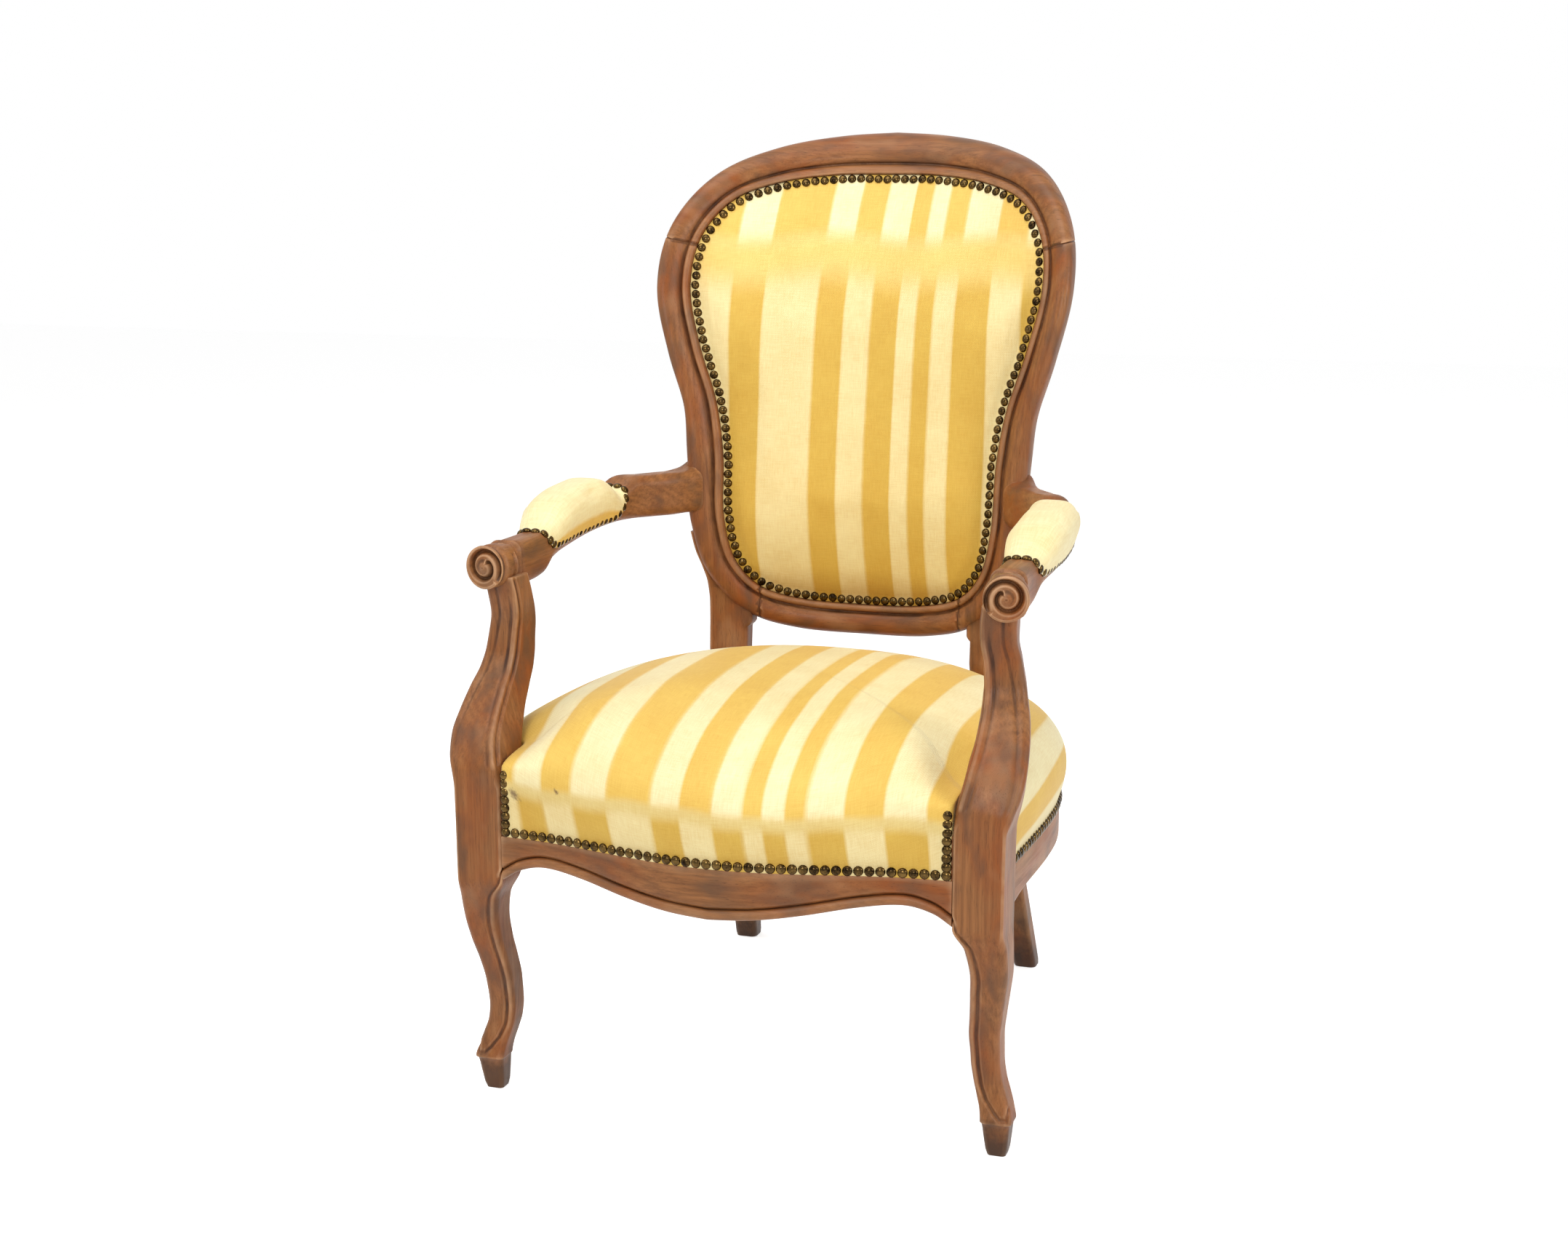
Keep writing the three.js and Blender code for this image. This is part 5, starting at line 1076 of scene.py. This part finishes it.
def evened(columns):
    """Rings that run smoothly from the first to the last. The first and last keep their places."""
    columns = np.asarray(columns, float)
    way = np.concatenate([[0], np.cumsum(np.linalg.norm(np.diff(columns, axis=0), axis=2).mean(1))])
    at = np.linspace(0, way[-1], int(way[-1] / RING_STEP))
    slot = np.clip(np.searchsorted(way, at) - 1, 0, len(way) - 2)
    t = ((at - way[slot]) / (way[slot + 1] - way[slot]))[:, None, None]
    fine = mix(columns[slot], columns[slot + 1], t)
    reach = int(RING_BLUR * 3 / (at[1] - at[0]))
    weight = bump(np.arange(-reach, reach + 1) * (at[1] - at[0]), RING_BLUR)
    start, stop = 2 * fine[:1] - fine[1:reach + 1][::-1], 2 * fine[-1:] - fine[-reach - 1:-1][::-1]
    long = np.concatenate([start, fine, stop])
    smooth = sum(w * long[k:k + len(fine)] for k, w in enumerate(weight / weight.sum()))
    # near the nails the cloth turns more sharply than on the top
    return mix(smooth, fine, bump(at, SHARP_EDGE)[:, None, None])


def rounder(ring):
    """The higher on the cushion, the rounder its corners."""
    plan = ring[:, :2].copy()
    height = ring[0, 2]
    for _ in range(int(60 * ease(330, 372, height) + 320 * ease(356, 425, height))):
        plan = 0.5 * plan + 0.25 * (np.roll(plan, 1, axis=0) + np.roll(plan, -1, axis=0))
    middle = (plan.max(0) + plan.min(0)) / 2
    grown = np.ptp(ring[:, :2], axis=0) / np.maximum(np.ptp(plan, axis=0), 1e-6)
    return np.column_stack([middle + (plan - middle) * grown, ring[:, 2]])


def lowered(points):
    """The cloth is cut round the front posts and pulled down beside them."""
    x, y, z = points.T
    off = np.hypot(np.maximum(INNER_FACE - np.abs(x), 0), np.maximum(y - BACK_FACE, 0))
    level = CORNER_NAILS + 4
    low = np.where(z > level, level + 0.3 * (z - level), z)
    return xyz(x, y, mix(z, low, bump(off, 38)))


def seat_cushion():
    flat = seat_edge(0)
    edge, swollen = seat_edge(COVER_OUT), seat_edge(COVER_OUT - SEAT_BULGE)
    inner = seat_edge(COVER_OUT + COVER + 6)
    height = SEAT_TOP - OVER_NAILS
    share = quilt(flat)

    def level(ring, z):
        return xyz(*ring.T, z)

    rings = [level(inner, z) for z in (RAIL_TOP + 4, RAIL_TOP + 1, 320, SEAT_LOW + 0.5)]
    rings.append(level(seat_edge(COVER_OUT + COVER), SEAT_LOW))
    rings += [level(edge, z) for z in np.linspace(SEAT_LOW, OVER_NAILS, 4)]
    pinned = len(rings)
    free = [rings[-1]]
    flat_from = SEAT_DOME[-1][0]
    for s in np.linspace(0, flat_from, 44)[1:]:
        bulge, inward = table(SEAT_DOME, s, 1) * share, float(table(SEAT_DOME, s, 2))
        x, y = mix(edge, swollen, bulge[:, None]).T
        last = np.column_stack([x * (1 - inward), mix(y, SEAT_MIDDLE, inward)])
        free.append(level(last, OVER_NAILS + COVER + (height - COVER) * s))
    for s in np.linspace(flat_from, 1, 14)[1:-1]:
        ring = mix(last, np.array([0, SEAT_MIDDLE]), 1 - math.sqrt(1 - (s - flat_from) / (1 - flat_from)))
        free.append(level(ring, OVER_NAILS + COVER + (height - COVER) * s))
    pole = np.array([0, SEAT_MIDDLE, SEAT_TOP - 0.5])
    free.append(np.tile(pole, (len(flat), 1)))
    rings += [lowered(rounder(ring)) for ring in evened(free)[1:-1]]
    rings = [beside_posts(ring) for ring in rings]
    hold = np.zeros(len(rings))
    hold[:pinned] = 1.0
    # The cloth's own coordinates unfold over the edge: at the front it runs down, at the sides across
    outward = np.stack([np.roll(flat[:, 1], -3) - np.roll(flat[:, 1], 3),
                        np.roll(flat[:, 0], 3) - np.roll(flat[:, 0], -3)], 1)
    outward /= np.linalg.norm(outward, axis=1, keepdims=True)
    to_side = ease(0.5, 0.85, np.abs(outward[:, 0])) * ease(-345, -325, flat[:, 1])
    sign = np.sign(flat[:, 0])
    cloth = [None] * len(rings)
    across, length = rings[-1][:, 0].copy(), rings[-1][:, 1].copy()
    cloth[-1] = np.column_stack([across, length])
    forward = np.where(outward[:, 1] < 0, -1.0, 1.0)
    sideways = ease(0.3, 0.7, np.abs(outward[:, 0]))
    for k in range(len(rings) - 2, -1, -1):
        step = rings[k] - rings[k + 1]
        far = np.linalg.norm(step, axis=1)
        steep = ease(0.3, 0.7, -step[:, 2] / np.maximum(far, 1e-6)) * to_side * ease(418, 398, rings[k][:, 2])
        across = across + mix(step[:, 0], sign * far, steep)
        length = length + mix(forward * far, step[:, 1], sideways)
        cloth[k] = np.column_stack([across, length])
    cloth, place = np.vstack(cloth), np.vstack(rings)
    side = np.tile(to_side, len(rings))
    front = ease(-250, -330, place[:, 1]) * (1 - side)
    slant = front * ease(372, 300, place[:, 2]) * np.interp(place[:, 0], (-240, 0, 240), (8, 4, 3))
    bands = side * 0.1 * (place[:, 1] + 60) * np.tile(sign, len(rings)) * ease(412, 372, place[:, 2])
    cloth = xyz(cloth[:, 0] - slant + bands, cloth[:, 1], 0.0)
    # the border of the painted sheen wanders a little along the front edge
    border = place[:, 2] + 2.5 * np.sin(place[:, 0] / 37) + np.sin(place[:, 0] / 11)
    upright = (1 - side) * (1 - turning(border, 338, 352, 352, 362))
    body = loft("seat_cushion", rings, [(0, SEAT_MIDDLE, RAIL_TOP + 4), tuple(pole)])
    cloth = np.vstack([cloth, [(0, SEAT_MIDDLE, 0)] * 2])
    hold = np.concatenate([np.repeat(hold, len(flat)), [1.0, 0.0]])
    return body, cloth, hold, np.concatenate([1 - upright, [1.0, 1.0]])


seat, seat_weave, seat_hold, seat_sheen = seat_cushion()
settle(seat, seat_hold, 6, 3.0, 0.006)
spots = coordinates(seat.data) / MM - (0, SHIFT_Y, 0)
# painted sheen where the seat turns up, and painted shade over the cloth's lowest 40 mm above the rail
finish_cloth(seat, seat_weave, seat_cloth, ("seat_cover", "seat_stuffing"), seat_sheen,
             0.25 * ease(RAIL_TOP + 42, RAIL_TOP + 6, spots[:, 2]))
for spot, size, strength in (((-224, -350, 345), 7.0, 0.8), ((-168, -355, 357), 3.2, 0.9)):
    nearest = np.argmin(np.linalg.norm(spots - spot, axis=1))
    stain(seat_cloth, seat_weave[nearest] * MM, size * MM, strength)


# Back
BACK_MIDDLE_Z = NAIL_BOTTOM + NAIL_HEIGHT / 2
COVER_BACK = LEDGE_FRONT - 2 * GAP
LINE_IN, LINE_OUT = -5.6, 4.9       # the nails' inner and outer edge, from the nail line
AROUND = 300


def back_ring(outward, depth, inward=0.0):
    spot, out = on_line(np.arange(AROUND) / AROUND)
    x = (spot[:, 0] + out[:, 0] * outward) * (1 - inward)
    z = mix(spot[:, 1] + out[:, 1] * outward, BACK_MIDDLE_Z, inward)
    return xyz(x, back_place(x, z, depth), z)


def back_cushion():
    front = COVER_BACK - COVER
    rings, hold = [], []
    opening = NAIL_BORDER - LEDGE_WIDTH - GAP
    for outward, depth in ((opening, 10), (opening, COVER_BACK), (LINE_OUT, COVER_BACK), (LINE_OUT, front),
                           (0, front), (LINE_IN, front)):
        rings.append(back_ring(outward, depth))
        hold.append(np.ones(AROUND))
    turn = np.arange(AROUND) / AROUND
    for inward in np.concatenate([np.linspace(0, 0.1, 10)[1:], np.linspace(0.1, 0.97, 34)[1:]]):
        crown = float(table(BACK_DOME, inward, 1)) * BACK_CROWN
        # the cloth is drawn in at each nail
        nails = 0.5 * np.cos(2 * np.pi * turn * LINE_NAILS) * bump(inward, 0.045)
        rings.append(back_ring(LINE_IN, front - crown + nails, inward))
        hold.append(np.full(AROUND, 0.5 if inward < 0.02 else 0.0))
    ends = [(0, float(back_place(0, BACK_MIDDLE_Z, d)), BACK_MIDDLE_Z) for d in (10, front - BACK_CROWN)]
    return loft("back_cushion", rings, ends), np.concatenate([*hold, [1.0, 0.0]])


back, back_hold = back_cushion()
settle(back, back_hold, 5, 2.0, 0.004)
spots = coordinates(back.data) / MM
# painted sheen towards the top, where the cloth turns back, and painted shade over its lowest 50 mm, where it
# turns under
finish_cloth(back, xyz(spots[:, 0], spots[:, 2], 0.0), back_cloth, ("back_cover_front", "back_stuffing"),
             turning(spots[:, 2] + 4 * np.sin(spots[:, 0] / 31), 822, 869, 873, 902),
             0.75 * ease(NAIL_BOTTOM + 52, NAIL_BOTTOM + 4, spots[:, 2]))


SLACK = 1.4


def rear_cover():
    rings = []
    depth = LEDGE_FRONT + LEDGE_THICK + 2 * GAP
    inner = [(LINE_IN, s, 0) for s in np.linspace(0.96, 0, 16)] + [(LINE_OUT, 0, 0)]
    for outward, inward, at in inner + [(*row[:2], COVER) for row in inner[::-1]]:
        slack = SLACK * math.sin(min(inward * 3, 1) * math.pi / 2)
        rings.append(back_ring(outward, depth + at - slack, inward))
    ends = [(0, float(back_place(0, BACK_MIDDLE_Z, depth + d - SLACK)), BACK_MIDDLE_Z) for d in (0, COVER)]
    return loft("rear_cover", rings, ends)


rear = rear_cover()
spots = coordinates(rear.data) / MM
store(rear.data, "cloth", "FLOAT_VECTOR", xyz(-spots[:, 0], spots[:, 2], 0.0) * MM)
for word in ("relief", "sheen"):
    store(rear.data, word, "FLOAT", np.zeros(len(spots)))
dress(rear, back_cloth, "striped_fabric", "back_cover_rear")
rim = back_ring(LINE_OUT, 0)
column = np.linspace(rim[:, 2].min(), rim[:, 2].max(), 60)
long = float(run_of(xyz(0, back_place(0, column, 0), column))[-1])


# Arm pads
def pad_place(share):
    y = mix(PAD_REAR, PAD_FRONT, share)
    x, _, top, _, width = arm_row((ARM_Y - y) / ARM_RUN)
    return x, y, top, width


PAD_LONG = PAD_REAR - PAD_FRONT
CORNER = 26.0


def pad_reach(share):
    """How far round the arm the pad's outline reaches from the middle of its top."""
    width = pad_place(share)[3]
    end = np.minimum(share, 1 - share) * PAD_LONG
    short = np.where(end < CORNER, CORNER - np.sqrt(np.maximum(CORNER ** 2 - (CORNER - end) ** 2, 0)), 0)
    return width / 2 + PAD_SKIRT - short * 1.05


def on_arm(share, way, lift=0.0):
    """Point and outward direction on the arm, way millimetres round from the middle of its top."""
    x, y, top, width = pad_place(share)
    half, corner = width / 2, width * ARM_ROUND
    side, w = np.sign(way), abs(way)
    arc = corner * math.pi / 2
    if w < half - corner:
        at, out = (w, 0.0), (0.0, 1.0)
    elif w < half - corner + arc:
        angle = (w - half + corner) / corner
        at = (half - corner + corner * math.sin(angle), corner * math.cos(angle) - corner)
        out = (math.sin(angle), math.cos(angle))
    else:
        at, out = (half, -(corner + w - half + corner - arc)), (1.0, 0.0)
    return (np.array([x + side * (at[0] + out[0] * lift), y, top + at[1] + out[1] * lift]),
            np.array([side * out[0], 0, out[1]]))


PAD_ROWS, PAD_STEPS, PAD_END = 72, 44, 46       # rows along, steps round, length of the rounded ends
PAD_SKIN = 1.4                                  # cloth above the wood


def arm_pad():
    rings, cloth, hold = [], [], []
    for share in 0.5 - 0.5 * np.cos(np.linspace(0.06, math.pi - 0.06, PAD_ROWS)):
        _, y, top, _ = pad_place(share)
        crown, swell = PAD_CROWN * table(PAD, share, 1, False), PAD_SWELL * table(PAD, share, 2, False)
        reach = float(pad_reach(share))
        end = min(share, 1 - share) * PAD_LONG
        full = float(ease(0, PAD_END, end)) ** 0.6
        ring, held, ways = [], [], []
        for k in range(PAD_STEPS + 1):
            t = mix(-1, 1, k / PAD_STEPS)
            ways.append(t * reach)
            base, out = on_arm(share, t * reach, PAD_SKIN)
            sideways = np.sign(t) * (swell + 1.5) * math.sin(min(abs(t), 1) * math.pi) ** 0.8
            dome = np.array([sideways * (1 if abs(t) > 0.5 else 0.8), 0, crown * (1 - abs(t) ** 2.6) ** 1.1])
            side_lift = 2.2 * bump(abs(t) - 0.72, 0.16) * full
            nails = 0.35 * math.cos(2 * math.pi * share * PAD_LONG / NAIL_PITCH) * bump(abs(t) - 0.9, 0.12)
            ring.append(base + dome * full + out * (side_lift - nails))
            held.append(1.0 if abs(t) > 0.93 else 0.0)
        for k in range(PAD_STEPS - 3, 2, -4):
            t = mix(-1, 1, k / PAD_STEPS)
            base, out = on_arm(share, t * reach * 0.9, -3.0)
            ring.append(base)
            held.append(1.0)
            ways.append(t * reach)
        rings.append(ring)
        hold.append(held)
        cloth.append(xyz(ways, y, np.array(ring)[:, 2] - top))
    hold = np.array(hold)
    hold[0] = hold[-1] = 1.0
    return loft("arm_pad_r", rings), np.vstack(cloth), hold.ravel()


pad, pad_weave, pad_hold = arm_pad()
pad_twin = mirrored(pad, "arm_pad_l")
# Only the left pad shows the edge of a gold band, along its inner nails
for one, side_name, shift in ((pad, "right", 60), (pad_twin, "left", 0)):
    settle(one, pad_hold, 4, 4.0, 0.01)
    # the whole pad takes the painted sheen of cloth turned up
    finish_cloth(one, pad_weave + (shift, 0, 0), pad_cloth,
                 (f"arm_pad_cover_{side_name}", f"arm_pad_stuffing_{side_name}"), 1.0)


# Nails: a point and a direction for each head, made into heads by one tree
def nail_tree():
    tree, given, result = group("nail_heads", [
        ("Geometry", "Geometry", None), ("Radius", "Float", 0.005), ("Height", "Float", 0.003),
        ("Tilt", "Float", 0.12), ("Uneven", "Float", 0.05), ("Seed", "Int", 1),
        ("Material", "Material", None)], [("Geometry", "Geometry")], "GeometryNodeTree")
    size = node(tree, "ShaderNodeCombineXYZ", {0: given["Radius"], 1: given["Radius"], 2: given["Height"]})
    ball = node(tree, "GeometryNodeMeshUVSphere", {"Segments": 12, "Rings": 8, "Radius": 1.0})
    head = node(tree, "GeometryNodeTransform", {"Geometry": ball.outputs[0], "Scale": size.outputs[0]})
    points = node(tree, "GeometryNodeMeshToPoints", {"Mesh": given["Geometry"]})
    facing = node(tree, "GeometryNodeInputNamedAttribute", {"Name": "facing"}, data_type="FLOAT_VECTOR")
    turn = node(tree, "FunctionNodeAlignRotationToVector", {"Vector": facing.outputs[0]}, axis="Z")
    low_tilt = math_node(tree, "MULTIPLY", given["Tilt"], -1.0)
    tilt = node(tree, "FunctionNodeRandomValue", {0: low_tilt, 1: given["Tilt"], "Seed": given["Seed"]},
                data_type="FLOAT_VECTOR")
    tilted = node(tree, "FunctionNodeRotateRotation", {0: turn.outputs[0], 1: tilt.outputs[0]},
                  rotation_space="LOCAL")
    small = math_node(tree, "SUBTRACT", 1.0, given["Uneven"])
    scale = node(tree, "FunctionNodeRandomValue", {2: small, 3: 1.0, "Seed": given["Seed"]},
                 data_type="FLOAT")
    placed = node(tree, "GeometryNodeInstanceOnPoints", {
        "Points": points.outputs[0], "Instance": head.outputs[0], "Rotation": tilted.outputs[0],
        "Scale": scale.outputs[1]})
    real = node(tree, "GeometryNodeRealizeInstances", {0: placed.outputs[0]})
    smooth = node(tree, "GeometryNodeSetShadeSmooth", {"Geometry": real.outputs[0]})
    painted = node(tree, "GeometryNodeSetMaterial", {"Geometry": smooth.outputs[0],
                                                     "Material": given["Material"]})
    feed(tree, result, {0: painted.outputs[0]})
    return tree


heads = nail_tree()


def nails(name, spots, facing, seed, replaced):
    mesh = bpy.data.meshes.new(name)
    place = np.asarray(spots, float) * MM
    place[:, 1] += SHIFT_Y * MM
    mesh.from_pydata(place.tolist(), [], [])
    facing = np.asarray(facing, float)
    store(mesh, "facing", "FLOAT_VECTOR", facing / np.linalg.norm(facing, axis=1, keepdims=True))
    obj = add_object(name, mesh)
    change = obj.modifiers.new("heads", "NODES")
    change.node_group = heads
    values = {"Radius": NAIL / 2 * 1.02 * MM, "Height": 3.4 * MM, "Tilt": 0.16, "Uneven": 0.04, "Seed": seed,
              "Material": bronze}
    for item in heads.interface.items_tree:
        if item.in_out == "INPUT" and item.name in values:
            change[item.identifier] = values[item.name]
    graph = bpy.context.evaluated_depsgraph_get()
    solid = bpy.data.meshes.new_from_object(obj.evaluated_get(graph), depsgraph=graph)
    obj.modifiers.remove(change)
    obj.data = solid
    solid.name = name
    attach(obj, "root")
    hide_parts(replaced)


def along(path, closed=False):
    """A nail's pitch apart along the places in the first three columns, with what the others hold."""
    if closed:
        path = np.vstack([path, path[:1]])
    way = run_of(path[:, :3])
    count = int(round(way[-1] / NAIL_PITCH))
    at = np.linspace(0, way[-1], count + 1)[:count if closed else None]
    return np.stack([np.interp(at, way, column) for column in path.T], 1)


def back_nails(name, depth, sign, seed, replaced):
    turns = (np.arange(LINE_NAILS) + 0.5) / LINE_NAILS
    spots = off_line(turns, rng.normal(0, 0.25, len(turns)), depth)
    x, z = spots[:, 0], spots[:, 2]
    facing = sign * xyz((back_place(x + 1, z, 0) - back_place(x - 1, z, 0)) / 2, -1.0,
                        (back_place(x, z + 1, 0) - back_place(x, z - 1, 0)) / 2)
    nails(name, spots, facing, seed, replaced)


back_nails("back_nails_f", COVER_BACK - COVER, 1, 3, "back_nails_front")
back_nails("back_nails_r", LEDGE_FRONT + LEDGE_THICK + 2 * GAP + COVER, -1, 4, "back_nails_rear")


NAILS_Z = RAIL_NAILS + NAIL / 2


def seat_front_nails():
    edge = INNER_FACE - NAIL / 2 - 0.6
    xs = np.linspace(-edge, edge, 240)
    row = along(xyz(xs, rail_face(xs) + COVER_OUT, NAILS_Z))
    up = np.linspace(CORNER_NAILS - NAIL / 2, NAILS_Z, 8)[:-1]
    y = float(rail_face(edge)) + COVER_OUT
    spots = np.vstack([xyz(-edge, y, up), row, xyz(edge, y, up[::-1])])
    slope = (rail_face(spots[:, 0] + 1) - rail_face(spots[:, 0] - 1)) / 2
    nails("seat_nails_f", spots, xyz(slope, -1.0, 0.0), 5, "seat_nails_front")


seat_front_nails()
shares = np.linspace(0.012, 0.95, 200)
path = xyz(*side_rail_point(shares, COVER_OUT), NAILS_Z)
row = along(path)
share = np.interp(row[:, 1], path[:, 1], shares)
out = xyz(*side_rail_point(share, COVER_OUT - 3), 0.0) - xyz(*side_rail_point(share, COVER_OUT), 0.0)
for mirror, side_name, seed in (((1, 1, 1), "right", 7), ((-1, 1, 1), "left", 5)):
    nails(f"seat_nails_{side_name}_row", row * mirror, out * mirror, seed, f"seat_nails_{side_name}")
rear_x = np.arange(-11, 12) * NAIL_PITCH
nails("seat_nails_b", xyz(rear_x, RAIL_REAR + REBATE - COVER_OUT, NAILS_Z), xyz(rear_x * 0, 1.0, 0.0), 9,
      "seat_nails_back")


PAD_NAILS_LIFT = 0.6


def pad_nail_row():
    """Places and directions of the nails round the outline of a pad."""
    rows = []
    shares = np.linspace(0.0, 1.0, 400)
    past = 0.2 * NAIL / 2 / PAD_LONG
    for sign, run in ((1, shares), (-1, shares[::-1])):
        for s in run:
            reach = sign * (float(pad_reach(s)) - NAIL / 2 + PAD_NAILS_LIFT)
            rows.append(on_arm(mix(-past, 1 + past, s) if 0 < s < 1 else s, reach, PAD_NAILS_LIFT))
        rows += [on_arm(run[-1], t, PAD_NAILS_LIFT) for t in np.linspace(reach, -reach, 12)[1:-1]]
    row = along(np.array(rows).reshape(-1, 6), closed=True)
    return row[:, :3], row[:, 3:]


row, out = pad_nail_row()
for mirror, side_name, seed in (((1, 1, 1), "right", 13), ((-1, 1, 1), "left", 11)):
    nails(f"pad_nails_{side_name}", row * mirror, out * mirror, seed, f"arm_pad_nails_{side_name}")


# Springs as round wire
COILS, COIL_R, WIRE = 3, 36, 1.8


def spring(index, x, y):
    share = np.linspace(0, 1, 150)[:, None]
    angle = share * COILS * 2 * np.pi
    turn = np.linspace(0, 2 * np.pi, 10, endpoint=False)
    out = COIL_R * mix(1, 0.62, np.sin(share * np.pi)) + WIRE * np.cos(turn)
    z = mix(WEBBING + GAP + WIRE, RAIL_TOP - WIRE, share) + WIRE * np.sin(turn)
    rings = xyz(x + out * np.cos(angle), y + out * np.sin(angle), z)
    dress(loft(f"coil_{index}", rings), steel, "spring_steel", f"seat_spring_{index}")


half_x = INNER_FACE / 2
front_y, rear_y = mix(BACK_FACE, BACK_POST_FRONT, 0.22), mix(BACK_FACE, BACK_POST_FRONT, 0.82)
for index, (x, y) in enumerate([(-half_x, front_y), (half_x, front_y), (0, (front_y + rear_y) / 2),
                                (-half_x, rear_y), (half_x, rear_y)], 1):
    spring(index, x, y)

# The frame's own solids that stay in view take their finish here
for name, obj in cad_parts.items():
    for words, material in ((("webbing", "hessian", "canvas"), jute), (("block", "back_seat_rail"), beech),
                            (("screw",), steel)):
        if any(word in name for word in words):
            for place in obj.material_slots:
                place.material = material


# Stage, light and camera
def in_view(tree):
    """1 on rays from the camera or from a glossy surface, so that both meet the white background."""
    paths = node(tree, "ShaderNodeLightPath").outputs
    return math_node(tree, "MAXIMUM", paths["Is Camera Ray"], paths["Is Glossy Ray"])


def stage():
    reach = 9000
    corners = [(-reach, -reach, 0), (reach, -reach, 0), (reach, reach, 0), (-reach, reach, 0)]
    floor = make("floor", corners, [(0, 1, 2, 3)])
    floor.location.z = -0.0005      # just under the feet
    material, tree, shader = new_material("floor")
    feed(tree, shader, {"Base Color": (0.93, 0.93, 0.93, 1), "Roughness": 0.9, "Specular IOR Level": 0.1})
    glow = node(tree, "ShaderNodeEmission", {"Color": (1, 1, 1, 1),
                                             "Strength": math_node(tree, "MULTIPLY", in_view(tree), 0.68)})
    both = node(tree, "ShaderNodeAddShader", {0: shader.outputs[0], 1: glow.outputs[0]})
    feed(tree, tree.nodes["Material Output"], {"Surface": both.outputs[0]})
    floor.data.materials.append(material)
    world = bpy.data.worlds.new("world")
    bpy.context.scene.world = world
    world.use_nodes = True
    tree = world.node_tree
    strength = node(tree, "ShaderNodeMapRange", {0: in_view(tree), 3: 0.3, 4: 1.0}).outputs[0]
    feed(tree, tree.nodes["Background"], {"Color": (1, 1, 1, 1), "Strength": strength})


def lamp(name, place, aim, size, power):
    data = bpy.data.lights.new(name, "AREA")
    data.energy, data.size = power, size
    obj = add_object(name, data)
    obj.location = place
    obj.rotation_euler = (Vector(aim) - Vector(place)).to_track_quat("-Z", "Y").to_euler()


stage()
lamp("over", (-0.4, -0.7, 3.0), (0, 0, 0.5), 2.2, 50)
lamp("front", (0.3, -2.9, 1.8), (0, 0, 0.6), 1.0, 31)
lamp("left", (-2.4, -1.3, 1.8), (0, 0, 0.6), 1.0, 9)
lamp("right", (2.5, -0.5, 1.4), (0, 0, 0.6), 1.0, 26)

view = bpy.data.cameras.new("camera")
view.lens, view.sensor_width = 53.43, 36
eye = add_object("camera", view)
eye.location = (0.7636, -2.3913, 0.990)
eye.rotation_euler = (math.radians(90 - 11.6), 0, math.radians(18.39))
bpy.context.scene.camera = eye
bpy.context.scene.view_settings.view_transform = "Standard"
